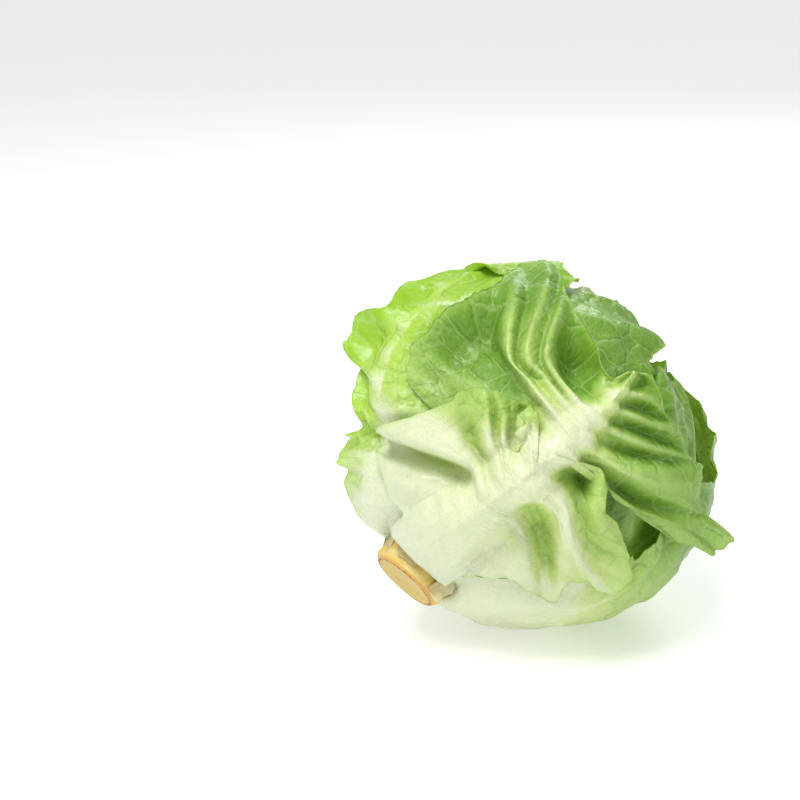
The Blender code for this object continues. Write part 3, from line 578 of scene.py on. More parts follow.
class Room:
    """How far out each direction is still free."""

    STEPS = 28
    SPREADS = 4
    SLOPE = 3.5 * MM
    GAP = 0.6 * MM

    def __init__(self):
        self.free = np.ones((2 * self.STEPS + 1,) * 3)

    def cells(self, points):
        distance = np.linalg.norm(points, axis=-1)
        steps = np.rint(points / distance[..., None] * self.STEPS).astype(int) + self.STEPS
        return tuple(np.moveaxis(steps, -1, 0)), distance

    def over(self, points):
        """How far each point lies outside the free room."""
        cells, distance = self.cells(points)
        return distance - self.free[cells]

    def take(self, points):
        """Closes the room above these points, and slopes it back to free room around them."""
        cells, distance = self.cells(points)
        taken = np.ones_like(self.free)
        np.minimum.at(taken, cells, distance - self.GAP)
        for step in range(self.SPREADS):
            taken = lowered(taken, self.SLOPE if step else 0.0)
        self.free = np.minimum(self.free, taken)

    def nearest(self, directions):
        """The smallest free distance around each direction."""
        return lowered(lowered(self.free))[self.cells(directions)[0]]


TUCK_ROUNDS = 24
SOFTENINGS = 6
SOFTNESS = 0.985
CLOSE_ENOUGH = 0.01 * MM


def tuck(mesh, room):
    """Pushes a leaf in towards the middle of the head until it lies inside the free room."""
    sides = mesh.faces[:, [0, 1, 1, 2, 2, 3, 3, 0]].reshape(-1, 2)
    degree = np.bincount(sides.ravel(), minlength=len(mesh.points))
    push = np.zeros(len(mesh.points))
    start = np.linalg.norm(mesh.points, axis=1)
    direction = mesh.points / start[:, None]
    for _ in range(TUCK_ROUNDS):
        back, inner = mesh.skins(direction * (start - push)[:, None])
        over = np.maximum(np.maximum(room.over(back), room.over(inner)), 0)
        push += over
        for _ in range(SOFTENINGS):
            around = np.bincount(sides[:, 0], push[sides[:, 1]], len(push))
            around += np.bincount(sides[:, 1], push[sides[:, 0]], len(push))
            push = np.maximum(push, SOFTNESS * around / degree)
        if over.max() < CLOSE_ENOUGH:
            break
    mesh.points = direction * (start - push)[:, None]
    return over.max()


def lay_leaves():
    """Every leaf from the outermost to the innermost, each tucked under those before it."""
    room = Room()
    meshes = []
    for leaf in LEAVES:
        mesh = LeafMesh(leaf)
        left_over = tuck(mesh, room) if meshes else 0.0
        room.take(mesh.skins(mesh.points)[1])
        meshes.append(mesh)
        print(f"leaf {leaf.number + 1}: {len(mesh.points)} points, {left_over / MM:.2f} mm over")
    return meshes, room


LAID, ROOM = lay_leaves()

# %% [markdown]
# ## Round the stem, down to the floor
# All midribs would meet in one point at the stem's pole. The real ones grow out of a thick stub, so the
# sheets are opened round it. Then the head is laid down, and its weight presses the lowest leaf flat.

# %% From the head's frame to the model's
STEM_RADIUS = 16.0 * MM
STEM_CUT = -86 * MM
STEM_TOP = -44 * MM
STEM_CLEARANCE = 0.5 * MM
OPENS_BELOW = 45 * MM


def hollow(points):
    """Opens the leaves round the stem, without changing how they lie on each other."""
    hole = STEM_RADIUS + STEM_CLEARANCE
    across = np.hypot(points[:, 0], points[:, 1])
    below = ease(-points[:, 2], 0.0, OPENS_BELOW)
    scale = (across + below * hole * np.exp(-across / hole)) / np.maximum(across, 1e-9)
    return points * np.stack([scale, scale, np.ones_like(scale)], -1)


# The CAD model was moved by this much, to have the middle of its box over the origin
MIDDLE = np.array([1.872, -8.064, 0.0]) * MM


def stand(points):
    """Lays points of the head's frame down, above the floor, where the CAD model is."""
    return points @ TURN.T + np.array([0.0, 0.0, FLOOR_DROP]) - MIDDLE


print("the middle of the head is at", (stand(np.zeros(3)) / MM).round(1), "mm")

# %% [markdown]
# ## How green each spot is
# A head of lettuce is nearly white at its heart and stem, where no light reaches, and green only where a
# leaf lies in the open. So each point stores a number from 0 to 1 for how green it is: low near the base
# and on the ribs, high towards the margin, with painted light and shade mixed in: paler crests and tips,
# greener hollows and a darker fourth leaf. Others say where the white base, the rib and the veins are.

# %% Numbers that the materials read
WHITE_BASE = (20, 65)
PALE_UNTIL = 45.0
GREEN_FROM = 128.0
PATCHES = ((26, 1.0), (9, 0.5))
PATCHINESS = 11
# The lowest leaf is paler than its place says, because the head lies on it, and the left leaf is greener.
# The fourth leaf is painted darker green: painted shade, for the shadow in the gap below the front leaf.
# Every leaf from the seventh on is a little paler than the one outside it.
OWN_TONE_AND_PAINTED_SHADE = {1: 0.14, 2: -0.1, 3: -0.45}
INNER_SHADE = 0.045
# The left leaf is green far down its margin
MARGIN_GREEN = {2: 0.5}
RIB_PALENESS = {0: 0.3, 2: 0.08}
PLAIN_RIB_PALENESS = 0.3
# The crumpled half of the front leaf is paler beside its midrib, and further out
CRUMPLED_PALENESS = 0.5
CRUMPLED_WIDTH = 2.2
PLAIN_WIDTH = 1.2
# The midrib turns green between these shares of its length
RIB_TURNS_GREEN = (0.4, 0.65)
FRONT_RIB_TURNS_GREEN = (0.4, 0.9)
# Wide pale bands along the side veins: partly the veins' own paler colour, partly a painted highlight on the
# ridge crests
RIDGE_PALENESS_AND_HIGHLIGHT = 0.5
# Painted light: far out towards the tip the margins are painted paler, as if lit through from behind
TIP_PAINTED_BACKLIGHT = 0.25
# Painted light and shade: raised folds are painted paler and hollows greener
FOLD_PAINTED_LIGHT_AND_SHADE = 0.035
FOLD_LIMITS = (-9, 6)


def greenness(mesh):
    """How green the leaf is at each point, from 0 to 1."""
    leaf, along, p = mesh.leaf, mesh.along, mesh.p
    tone_and_painted_shade = OWN_TONE_AND_PAINTED_SHADE.get(leaf.number, INNER_SHADE * max(leaf.number - 5, 0))
    aside = mesh.across - through(leaf.bow, along / leaf.rib)
    from_rib = np.abs(aside)
    far = np.hypot(along, 0.45 * from_rib)
    patch = sum(
        share * grain(along / size, mesh.across / size, 10 * leaf.number + seed)
        for seed, (size, share) in enumerate(PATCHES, 6))
    green = (far + PATCHINESS * patch - PALE_UNTIL) / (GREEN_FROM - PALE_UNTIL)
    width = through(RIB_WIDTH, along / leaf.rib)
    paleness = RIB_PALENESS.get(leaf.number, PLAIN_RIB_PALENESS)
    front = leaf.number == 0
    crumpled = (aside < 0) & front
    beside = np.where(crumpled, CRUMPLED_PALENESS, paleness)
    wide = np.where(crumpled, CRUMPLED_WIDTH, PLAIN_WIDTH) * width
    # The pale vein bands are partly the veins' own colour and partly a painted highlight on the crests
    green = green - beside * np.exp(-((from_rib / wide) ** 2)) - RIDGE_PALENESS_AND_HIGHLIGHT * mesh.pale_and_highlit_bands
    on_rib = np.exp(-((from_rib / (0.95 * width)) ** 5)) * ease(along, 20, 60)
    rib_green = ease(along / leaf.rib, *(FRONT_RIB_TURNS_GREEN if front else RIB_TURNS_GREEN))
    green = green - paleness * (1 - rib_green) * on_rib
    margin_green = MARGIN_GREEN.get(leaf.number, 0.0) * (0.4 + 0.6 * ease(along, 45, 75))
    green = green + margin_green * ease(p, 0.0, 0.6)
    # Painted backlight: paler margins towards the tip
    green = green - TIP_PAINTED_BACKLIGHT * ease(p, 0.4, 1.0) * ease(along, 130, 160)
    # Folds that stand out are pale, partly with their vein and partly as painted light, and the hollows under
    # and between them are painted greener as painted shade
    green = green - FOLD_PAINTED_LIGHT_AND_SHADE * np.clip(mesh.fold, *FOLD_LIMITS) * ease(along, 30, 60)
    return np.clip(green - tone_and_painted_shade, 0, 1)


def add_numbers(mesh, values):
    """Stores named numbers on a Blender mesh, one for each of its points."""
    for name, numbers in values.items():
        kind, key = ("FLOAT_VECTOR", "vector") if numbers.ndim == 2 else ("FLOAT", "value")
        layer = mesh.attributes.new(name, kind, "POINT")
        layer.data.foreach_set(key, numbers.astype(np.float32).ravel())


def add_object(name, data):
    new = bpy.data.objects.new(name, data)
    bpy.context.collection.objects.link(new)
    return new


def add_piece(name, points, faces, finish):
    """A smooth mesh object made of points and faces, which rides on the head's one body."""
    mesh = bpy.data.meshes.new(name)
    mesh.from_pydata(points.tolist(), [], [face.tolist() for face in faces])
    mesh.shade_smooth()
    mesh.materials.append(finish)
    piece = add_object(name, mesh)
    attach(piece, "root")
    return piece


print("green starts", PALE_UNTIL, "mm from the base and is full at", GREEN_FROM, "mm")

# %% [markdown]
# ## Shader sums as Python
# Nodes written one by one are hard to read, so a small class stands for the output of a node: adding or
# multiplying two of them adds a Math node, and make() adds any other.


# %% A class for shader values
class Value:
    """The output of a shader node. Sums on it add Math nodes."""

    def __init__(self, tree, socket=None):
        self.tree = tree
        self.socket = socket

    def make(self, kind, settings=None, inputs=None, output=0):
        """Adds a node, with its settings first, and then the values or links of its sockets."""
        node = self.tree.nodes.new(kind)
        for name, setting in (settings or {}).items():
            if name == "stops":
                while len(node.color_ramp.elements) < len(setting):
                    node.color_ramp.elements.new(0.5)
                for element, (place, colour) in zip(node.color_ramp.elements, setting):
                    element.position = place
                    element.color = (*colour, 1.0)
            else:
                setattr(node, name, setting)
        for name, value in (inputs or {}).items():
            if isinstance(value, Value):
                self.tree.links.new(value.socket, node.inputs[name])
            else:
                node.inputs[name].default_value = value
        return Value(self.tree, node.outputs[output] if node.outputs else None)

    def sum(self, operation, a, b):
        return self.make("ShaderNodeMath", {"operation": operation}, {0: a, 1: b})

    def __add__(self, other):
        return self.sum("ADD", self, other)

    def __sub__(self, other):
        return self.sum("SUBTRACT", self, other)

    def __rsub__(self, other):
        return self.sum("SUBTRACT", other, self)

    def __mul__(self, other):
        return self.sum("MULTIPLY", self, other)

    __radd__ = __add__
    __rmul__ = __mul__

    def number(self, name, output="Fac"):
        """A number stored on the mesh."""
        return self.make("ShaderNodeAttribute", {"attribute_name": name}, output=output)

    def noise(self, place, scale, detail=2.0):
        """Soft noise, so many lumps to a metre."""
        return self.make("ShaderNodeTexNoise", {}, {"Vector": place, "Scale": scale, "Detail": detail})

    def stretch(self, place, scale):
        """A place with its axes stretched, so that a texture runs along the leaf."""
        return self.make("ShaderNodeVectorMath", {"operation": "MULTIPLY"}, {0: place, 1: scale})

    def step(self, low, high):
        """0 below low, 1 above high, smooth between."""
        return self.make("ShaderNodeMapRange", {"interpolation_type": "SMOOTHSTEP"},
                         {"Value": self, "From Min": low, "From Max": high})

    def between(self, a, b):
        """Colour a where this value is 0 and b where it is 1."""
        a = a if isinstance(a, Value) else (*a, 1.0)
        b = b if isinstance(b, Value) else (*b, 1.0)
        return self.make("ShaderNodeMix", {"data_type": "RGBA"}, {"Factor": self, 6: a, 7: b}, output=2)

    def bump(self, strength, distance):
        """The normal of a surface with this relief."""
        return self.make("ShaderNodeBump", {}, {"Height": self, "Strength": strength, "Distance": distance})

    def finish(self):
        """Connects this shader to the material's output."""
        self.make("ShaderNodeOutputMaterial", {}, {"Surface": self})


def new_finish(name):
    """An empty material, and a Value to start its nodes from."""
    finish = bpy.data.materials.new(name)
    finish.use_nodes = True
    finish.node_tree.nodes.clear()
    return finish, Value(finish.node_tree)


print("ready to write materials as sums")

# %% [markdown]
# ## The blade's finish
# A lettuce leaf is a thin wet-looking sheet with a waxy skin. Some of the light goes through it and comes
# out yellower, so a Principled surface is mixed with a Translucent one. The colour follows the stored
# green. A fine net of veins, pale in green parts and darker in pale ones, divides it into small cushions.
# Its dark lines are partly the veins' own green and partly painted shade in the fine creases along them.

# %% Leaf colours and the leaf finish
# Colours from the pale base to the green margin, each with the green number where it stands
RAMP = (
    (0.0, (0.73, 0.79, 0.50)), (0.22, (0.68, 0.81, 0.31)), (0.45, (0.57, 0.76, 0.20)),
    (0.7, (0.42, 0.63, 0.14)), (0.88, (0.31, 0.53, 0.08)), (1.0, (0.21, 0.42, 0.045)),
)
# The left leaf's colours, brighter and yellower than the others: partly its own yellow-green, partly painted
# light, as if lit through from behind
LEFT_RAMP_WITH_PAINTED_BACKLIGHT = (
    (0.0, (0.74, 0.80, 0.52)), (0.22, (0.68, 0.81, 0.36)), (0.45, (0.58, 0.78, 0.19)),
    (0.75, (0.48, 0.72, 0.09)), (1.0, (0.36, 0.62, 0.04)),
)
BASE_TONE = (0.77, 0.81, 0.68)
# A thin yellow-green rim along the margin: partly its own colour, partly a painted light rim
EDGE_TONE_AND_RIM_LIGHT = (0.50, 0.72, 0.20)
# Dark lines of the vein net: partly the veins' own green, partly painted shade in the creases along them
VEIN_AND_CREASE_SHADE_TONE = (0.16, 0.36, 0.05)
PALE_VEIN_TONE = (0.58, 0.74, 0.32)
GLOW = (0.68, 0.88, 0.22)
SUNNY_GLOW = (0.72, 0.92, 0.10)
# Meshes of the wide and of the fine net of veins in a metre, and how far the nets wander
NET_SCALES = (72.0, 230.0)
SWAY = 0.006
RELIEF = 0.9 * MM


def leaf_finish(name, ramp, glow, glow_share):
    finish, start = new_finish(name)
    green, vein, edge = (start.number(part) for part in ("green", "vein", "edge"))
    place = start.number("sheet", "Vector")
    mottled = green + 0.16 * (start.noise(place, 140, 3) - 0.5)
    tone = start.make("ShaderNodeValToRGB", {"stops": ramp}, {"Fac": mottled})
    sway = start.make("ShaderNodeTexNoise", {}, {"Vector": place, "Scale": 90.0}, output="Color")
    swayed = start.make("ShaderNodeVectorMath", {"operation": "MULTIPLY_ADD"},
                        {0: sway, 1: (SWAY, SWAY, SWAY), 2: place})
    wide_net, fine_net = (swayed.make("ShaderNodeTexVoronoi", {"feature": "DISTANCE_TO_EDGE"},
                                      {"Vector": swayed, "Scale": scale}) for scale in NET_SCALES)
    soft = green.step(0.12, 0.5)
    # The dark lines are partly painted shade in the fine creases along the veins
    lines = (1 - wide_net.step(0.0, 0.045)) * 0.42 + (1 - fine_net.step(0.0, 0.09)) * 0.12
    for share, colour in (
        (0.35 * start.number("white"), BASE_TONE),
        (lines * (0.12 + 0.88 * soft), green.step(0.5, 0.8).between(VEIN_AND_CREASE_SHADE_TONE, PALE_VEIN_TONE)),
        (0.55 * vein.step(0.3, 0.85) * soft, PALE_VEIN_TONE),
        # The margin rim is partly painted light
        (0.5 * edge.step(0.93, 1.0), EDGE_TONE_AND_RIM_LIGHT),
    ):
        tone = share.between(tone, colour)
    pores = start.noise(start.stretch(place, (1.0, 2.6, 1.0)), 1500, 2)
    cushions = wide_net.step(0.0, 0.16) * 0.7 + fine_net.step(0.0, 0.3) * 0.3
    wrinkles = start.noise(start.stretch(place, (0.8, 2.2, 1.0)), 260, 3)
    rib_grain = start.noise(start.stretch(place, (1.8, 0.5, 1.0)), 750, 2)
    on_rib = start.number("rib")
    height = cushions * (0.15 + 0.85 * soft) + wrinkles * 0.9 + pores * 0.12
    height = height + rib_grain * ((1 - soft) * 0.6 + 0.5 * on_rib)
    relief = height.bump(0.8, RELIEF)
    rough = 0.34 + 0.16 * start.noise(place, 60) + 0.06 * (1 - soft) - 0.14 * on_rib
    surface = start.make("ShaderNodeBsdfPrincipled", {}, {
        "Base Color": tone, "Roughness": rough, "Normal": relief, "IOR": 1.42,
        "Coat Weight": 0.42, "Coat Roughness": 0.17})
    through_light = start.make("ShaderNodeBsdfTranslucent", {}, {"Color": (*glow, 1.0), "Normal": relief})
    # More light comes through the thin margin, and less through the thick pale base
    share = glow_share * (0.5 + 0.5 * edge.step(0.2, 1.0)) * (0.3 + 0.7 * green.step(0.0, 0.35))
    start.make("ShaderNodeMixShader", {}, {"Fac": share, 1: surface, 2: through_light}).finish()
    return finish


OUTER_FINISH = leaf_finish("waxy green leaf", RAMP, GLOW, 0.40)
# The left leaf's brighter ramp holds painted backlight
LEFT_FINISH = leaf_finish("thin leaf with painted backlight", LEFT_RAMP_WITH_PAINTED_BACKLIGHT, SUNNY_GLOW, 0.45)
print("made", OUTER_FINISH.name, "and", LEFT_FINISH.name)

# %% [markdown]
# ## From sheet to closed leaf
# The back and the inner face are two copies of the sheet, closed by a strip along the rim. Each face also
# gets a place of its own in a flat layout, so every side has room.

# %% Build the leaves
LEFT_LEAF_NUMBER = 2
SHEETS_APART = 40.0
FACE_SHARE = 0.49
LAYOUT_GAP = 0.01
RIM_STRIP = (0.985, 0.995)


def lay_out(piece, mesh):
    """A flat layout: four strips for the halves of both faces, and a narrow one for the rim."""
    k, p = np.abs(mesh.t), mesh.p
    corner_t = mesh.t[mesh.faces]
    side = np.where(corner_t.sum(axis=1) < 0, -1.0, 1.0)[:, None]
    u = FACE_SHARE / 2 + side * p[mesh.faces] * (FACE_SHARE / 2 - LAYOUT_GAP)
    v = LAYOUT_GAP + (1 - 2 * LAYOUT_GAP) * k[mesh.faces]
    back = np.stack([u, v], -1)
    inner = np.stack([u[:, ::-1] + FACE_SHARE, v[:, ::-1]], -1)
    step = np.arange(len(mesh.rim)) / len(mesh.rim)
    ahead = step + 1 / len(mesh.rim)
    left, right = (np.full_like(step, place) for place in RIM_STRIP)
    strip = np.stack([np.stack([left, right, right, left], -1), np.stack([step, step, ahead, ahead], -1)], -1)
    layout = piece.data.uv_layers.new(name="OFBake")
    layout.data.foreach_set("uv", np.concatenate([back, inner, strip]).astype(np.float32).ravel())


def build_leaf(mesh):
    """The finished leaf as an object."""
    mesh.points = hollow(mesh.points)
    back, inner = mesh.skins(mesh.points)
    back, inner = stand(back), stand(inner)
    back[:, 2] = np.maximum(back[:, 2], 0.0)
    inner[:, 2] = np.maximum(inner[:, 2], 2 * mesh.half)
    number = mesh.leaf.number
    name = f"leaf_{number + 1:02d}"
    finish = LEFT_FINISH if number == LEFT_LEAF_NUMBER else OUTER_FINISH
    faces = shell_faces(mesh.faces, mesh.rim, len(back))
    piece = add_piece(f"{name}_blade", np.concatenate([back, inner]), faces, finish)
    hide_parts(name)
    sheet = np.stack([mesh.along, mesh.across, np.full_like(mesh.along, SHEETS_APART * number)], -1) * MM
    white = 1 - ease(mesh.along, *WHITE_BASE)
    rib = np.clip(mesh.rib / RIB_HEIGHT[0], 0, 1)
    once = dict(green=greenness(mesh), white=white, rib=rib, vein=mesh.veins, edge=mesh.p, sheet=sheet)
    add_numbers(piece.data, {name: np.concatenate([numbers, numbers]) for name, numbers in once.items()})
    lay_out(piece, mesh)
    return piece


for laid in LAID:
    built = build_leaf(laid)
    print(built.name, len(built.data.polygons), "faces")

# %% [markdown]
# ## The stem
# The stub is turned about the head's axis, as on a lathe. Its cut face has dried to a golden tan with a
# ring of darker vessels inside the skin, and its side has the scars of the trimmed leaves.

# %% Build the stem
STEM_AROUND = 144
PROFILE_PARTS = 6
# Radius of the stub and height above its cut face, in millimetres, from the face up to the core's end
STEM_PROFILE = (
    (0, 0.5), (8, 0.3), (14.2, 0), (15.6, 0.8), (16, 3), (15.7, 7), (16, 12), (15.5, 22), (14, 32),
    (10, 40), (0, 42))
# Each swelling: its height in millimetres, where round the stem it is, and how narrow
SWELLINGS = ((1.6, 1.7, 6), (1.3, -1.3, 8))


def turned(profile, around, bump=None):
    """Points and faces of a profile of (radius, height) turned about the axis, closed at both ends."""
    radius, height = np.repeat(profile[1:-1], around, axis=0).T
    angle = np.tile(np.linspace(0, math.tau, around, endpoint=False), len(profile) - 2)
    if bump:
        radius = radius + bump(angle, radius, height)
    middle = np.stack([radius * np.cos(angle), radius * np.sin(angle), height], -1)
    points = np.concatenate([[(0, 0, profile[0][1])], middle, [(0, 0, profile[-1][1])]])
    rings = 1 + np.arange(len(middle)).reshape(-1, around)
    rings = np.concatenate([rings, rings[:, :1]], axis=1)
    first, last = rings[0], rings[-1]
    bottom = np.stack([0 * first[1:], first[1:], first[:-1]], -1)
    top = np.stack([0 * last[1:] + len(points) - 1, last[:-1], last[1:]], -1)
    return points, [*bottom, *top, *quads(rings.T)]


def stem_bump(angle, radius, height):
    """Scars and swellings of the trimmed leaf bases."""
    neck = ease(height, STEM_CUT + 0.5 * MM, STEM_CUT + 3 * MM) * ease(-height, 60 * MM, 74 * MM)
    humps = sum(size * np.maximum(0, np.cos(angle + place)) ** power for size, place, power in SWELLINGS)
    rough = 0.35 * grain(angle * 6.4, height / (2.2 * MM), 70)
    edge = 0.25 * grain(angle * 3.2, height * 0, 71)
    return (humps * neck + rough * neck + edge) * MM


def stem_finish():
    finish, start = new_finish("cut stem")
    place = start.number("stem_place", "Vector")
    out = start.number("out")
    cut = start.number("cut")
    fibre = start.noise(place, 900, 3)
    face = start.noise(place, 160, 4).between((0.46, 0.31, 0.055), (0.62, 0.47, 0.12))
    face = (0.5 * fibre.step(0.45, 0.7)).between(face, (0.68, 0.56, 0.20))
    # The ring of vessels is broken into dots and not quite round, with a rust-coloured rim outside it
    uneven = out + 0.05 * (start.noise(place, 210, 3) - 0.5)
    dots = start.noise(place, 620, 1).step(0.4, 0.55)
    ring = uneven.step(0.84, 0.88) * (1 - uneven.step(0.92, 0.95))
    face = (0.7 * uneven.step(0.9, 0.97)).between(face, (0.68, 0.34, 0.06))
    face = (ring * (0.35 + 0.65 * dots)).between(face, (0.34, 0.09, 0.012))
    skin = start.noise(place, 90, 2).step(0.3, 0.75).between((0.68, 0.46, 0.10), (0.74, 0.68, 0.33))
    tone = cut.between(skin, face)
    height = fibre * 0.6 + start.noise(place, 260, 2) * 0.6 + ring * dots * 0.8
    surface = start.make("ShaderNodeBsdfPrincipled", {}, {
        "Base Color": tone, "Roughness": 0.42 + 0.25 * fibre, "Normal": height.bump(0.6, 0.0006),
        "Subsurface Weight": 0.25, "Subsurface Radius": (1.0, 0.6, 0.25), "Subsurface Scale": 0.002})
    surface.finish()
    return finish


share = np.linspace(0, 1, (len(STEM_PROFILE) - 1) * PROFILE_PARTS + 1)
radius, height = (through(row, share) * MM for row in zip(*STEM_PROFILE))
profile = np.stack([np.maximum(radius, 0), STEM_CUT + height], -1)
points, faces = turned(profile, STEM_AROUND, stem_bump)
stem = add_piece("stem_stub", stand(points), faces, stem_finish())
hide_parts("stem")
out = np.hypot(points[:, 0], points[:, 1]) / STEM_RADIUS
cut = 1 - ease(points[:, 2], STEM_CUT + 0.7 * MM, STEM_CUT + 1.4 * MM)
add_numbers(stem.data, {"out": out, "cut": cut, "stem_place": points})

# %% [markdown]
# ## Scraps round the stem
# Each trimmed leaf leaves a papery scrap of its base. It is a small grid bent round the stub: wide at its
# foot, leaning out further up, and torn unevenly along its upper edge.

# %% Build the scraps
SCRAPS = (
    # where round the stub, half width, lower end and reach above the cut face, lean outwards
    (-2.1, 0.42, 1.5, 15.0, 3.4),
    (-1.35, 0.34, 3.0, 12.0, 2.6),
    (-0.35, 0.30, 4.0, 9.0, 2.2),
    (0.95, 0.38, 2.0, 12.0, 3.6),
    (1.75, 0.30, 3.0, 10.0, 2.8),
    (2.9, 0.45, 2.5, 11.0, 2.6),
)
SCRAP_THICKNESS = 0.5 * MM
SCRAP_COLUMNS = 40
SCRAP_ROWS = 16


def scrap_points(place, half_width, low, reach, lean, seed):
    """Both skins of one scrap, a curved shell with a torn upper edge, and how far up each point is."""
    side, up = np.meshgrid(np.linspace(-1, 1, SCRAP_COLUMNS), np.linspace(0, 1, SCRAP_ROWS), indexing="ij")
    side, up = side.ravel(), up.ravel()
    edge = 1 - 0.35 * side**2 + 0.22 * grain(side * 3, side * 0, 80 + seed)
    edge = edge + 0.08 * grain(side * 9, side * 0, 90 + seed)
    height = STEM_CUT + (low + up * reach * edge) * MM
    turn = place + half_width * side * (1 - 0.25 * up)
    crumple = 0.5 * grain(side * 2.2, up * 2.4, 60 + seed)
    out = STEM_RADIUS + (0.1 + lean * up**1.6 + crumple * up) * MM
    skins = [np.stack([radius * np.cos(turn), radius * np.sin(turn), height], -1)
             for radius in (out + SCRAP_THICKNESS, out)]
    return np.concatenate(skins), np.tile(up, 2)


def scrap_finish():
    """Half-dry leaf: pale at the foot, browned along the torn edge."""
    finish, start = new_finish("dry leaf scrap")
    up = start.number("up")
    place = start.number("stem_place", "Vector")
    fibre = start.noise(start.stretch(place, (1, 1, 0.25)), 900, 3)
    tone = (up + 0.25 * (fibre - 0.5)).step(0.15, 0.95).between((0.70, 0.60, 0.30), (0.76, 0.74, 0.48))
    tone = (up + 0.3 * (fibre - 0.5)).step(0.92, 1.02).between(tone, (0.55, 0.33, 0.10))
    surface = start.make("ShaderNodeBsdfPrincipled", {}, {
        "Base Color": tone, "Roughness": 0.5 - 0.15 * fibre, "Normal": fibre.bump(0.6, 0.0005)})
    glow = start.make("ShaderNodeBsdfTranslucent", {}, {"Color": (0.80, 0.68, 0.30, 1.0)})
    start.make("ShaderNodeMixShader", {}, {"Fac": 0.3 + 0.1 * up, 1: surface, 2: glow}).finish()
    return finish


scraps, heights = zip(*(scrap_points(*scrap, seed) for seed, scrap in enumerate(SCRAPS)))
index = np.arange(SCRAP_COLUMNS * SCRAP_ROWS).reshape(SCRAP_COLUMNS, SCRAP_ROWS)
rim = np.concatenate([index[:, 0], index[-1, 1:], index[-2::-1, -1], index[0, -2:0:-1]])
shell = shell_faces(quads(index), rim, index.size)
# The squares of the rim start one corner further on, which sets the diagonal that they are split along
shell[-len(rim):] = np.roll(shell[-len(rim):], 1, axis=1)
points = np.concatenate(scraps)
faces = np.concatenate([shell + 2 * index.size * number for number in range(len(scraps))])
stem_scraps = add_piece("stem_scraps", stand(points), faces, scrap_finish())
add_numbers(stem_scraps.data, {"up": np.concatenate(heights), "stem_place": points})
print("scraps", len(stem_scraps.data.polygons), "faces")

# %% [markdown]
# ## The heart
# The middle of the head is a tight ball of young leaves. Seen between the inner leaves it is pale, with low
# steps where one young leaf ends on the next.

# %% Build the heart
HEART_DEPTH = 25 * MM
HEART_GAP = 1.0 * MM
HEART_LEVELS = 80
HEART_AROUND = 160
HEART_GREEN = 0.3
HEART_STEP = 1.4 * MM

levels = np.linspace(0, math.pi, HEART_LEVELS + 1)
points, faces = turned([(math.sin(a), -math.cos(a)) for a in levels], HEART_AROUND)
direction = points / np.linalg.norm(points, axis=1, keepdims=True)
turn = np.arctan2(direction[:, 1], direction[:, 0])
polar = np.arccos(np.clip(direction[:, 2], -1, 1))
steps = HEART_STEP * np.sin(3 * turn + 4 * polar) * np.sin(polar)
radius = np.minimum(globe_radius(direction) - HEART_DEPTH + steps, ROOM.nearest(direction) - HEART_GAP)
lowest = -(STEM_TOP + HEART_GAP)
# Below the middle the heart ends level, just above the stem's core
downward = np.maximum(-direction[:, 2], 1e-6)
radius = np.where(direction[:, 2] < 0, np.minimum(radius, lowest / downward), radius)
heart_points = hollow(direction * radius[:, None])
heart = add_piece("heart_leaves", stand(heart_points), faces, OUTER_FINISH)
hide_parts("heart")
numbers = {name: np.zeros(len(points)) for name in ("white", "rib", "vein", "edge")}
numbers.update(green=np.full(len(points), HEART_GREEN), sheet=heart_points)
add_numbers(heart.data, numbers)
print("heart", len(heart.data.polygons), "faces")

# %% [markdown]
# ## Floor and light
# The photograph is a bright studio shot on white: a plain pale floor, a large soft light above and in
# front, and light from all round that glows through the thin leaves.

# %% The stage
LIT_SPOT = Vector((0, 0, 0.08))
SKY = 0.54
FLOOR_GLOW = 0.35

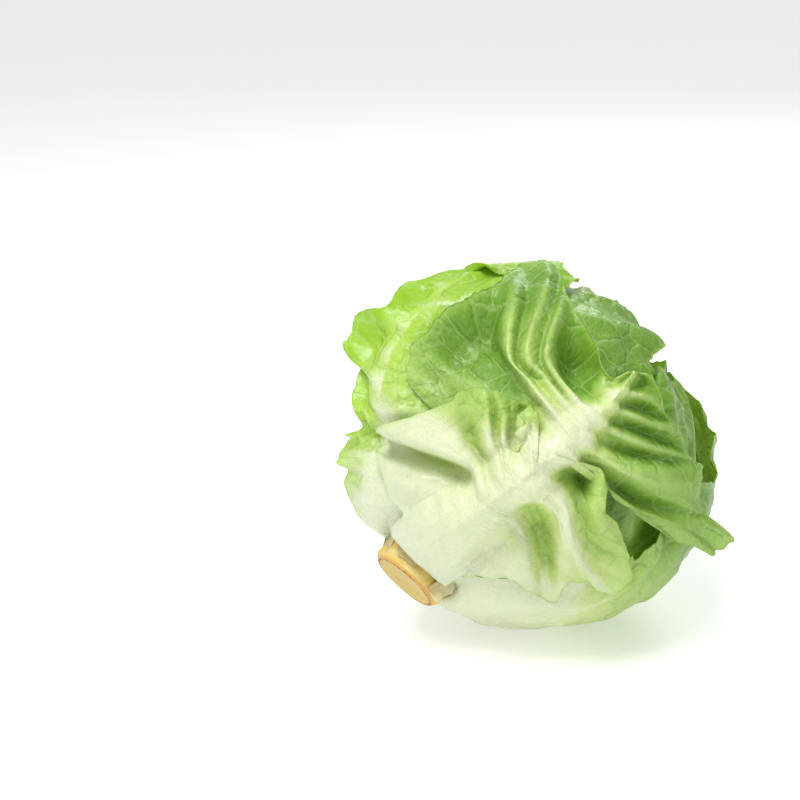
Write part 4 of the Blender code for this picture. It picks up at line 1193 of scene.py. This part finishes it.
floor_mesh = bpy.data.meshes.new("floor")
floor_mesh.from_pydata([(-6, -4, 0), (6, -4, 0), (6, 8, 0), (-6, 8, 0)], [], [(0, 1, 2, 3)])
floor = add_object("floor", floor_mesh)
floor_finish, start = new_finish("pale floor")
paper = start.make("ShaderNodeBsdfPrincipled", {}, {
    "Base Color": (0.84, 0.85, 0.86, 1.0), "Roughness": 0.6,
    "Emission Color": (1.0, 1.0, 1.0, 1.0), "Emission Strength": FLOOR_GLOW})
paper.finish()
floor_mesh.materials.append(floor_finish)

world = bpy.data.worlds.new("studio")
world.use_nodes = True
sky = world.node_tree.nodes["Background"].inputs
sky["Color"].default_value = (1.0, 1.0, 1.0, 1.0)
sky["Strength"].default_value = SKY
bpy.context.scene.world = world
bpy.context.scene.view_settings.view_transform = "Standard"


def soft_light(name, place, size, power):
    """A square soft light that shines from place on the head's middle."""
    lamp = bpy.data.lights.new(name, "AREA")
    lamp.size = size
    lamp.energy = power
    light = add_object(name, lamp)
    light.location = place
    light.rotation_euler = (LIT_SPOT - Vector(place)).to_track_quat("-Z", "Y").to_euler()


soft_light("top light", (-0.22, -0.42, 1.0), 0.45, 8.4)
soft_light("back light", (0.3, 0.9, 0.8), 0.5, 4.0)
print("floor and lights are in place")

# %% [markdown]
# ## The camera
# The head fills about 400 of the picture's 800 pixels and stands right of its middle. A long lens from
# 0.8 m away gives the same perspective. The camera is aimed beside the head, and its lens isn't shifted.

# %% Place the camera
LENS = 79.84
DISTANCE = 0.79
PICTURE = 800
HEAD_PIXEL = (530, 440)
FOCAL_PIXELS = 1782

back = Vector((0, -math.cos(VIEW_RISE), math.sin(VIEW_RISE)))
aside = math.atan((HEAD_PIXEL[0] - PICTURE / 2) / FOCAL_PIXELS)
above = math.atan((HEAD_PIXEL[1] - PICTURE / 2) / FOCAL_PIXELS)
level = Matrix.Rotation(math.pi / 2 - VIEW_RISE, 4, "X")
aim = level @ Matrix.Rotation(aside, 4, "Y") @ Matrix.Rotation(above, 4, "X")
camera_data = bpy.data.cameras.new("camera")
camera_data.lens = LENS
camera = add_object("camera", camera_data)
camera.matrix_world = Matrix.Translation(Vector(stand(np.zeros(3))) + back * DISTANCE) @ aim
bpy.context.scene.camera = camera
print("camera", DISTANCE, "m from the head's middle")
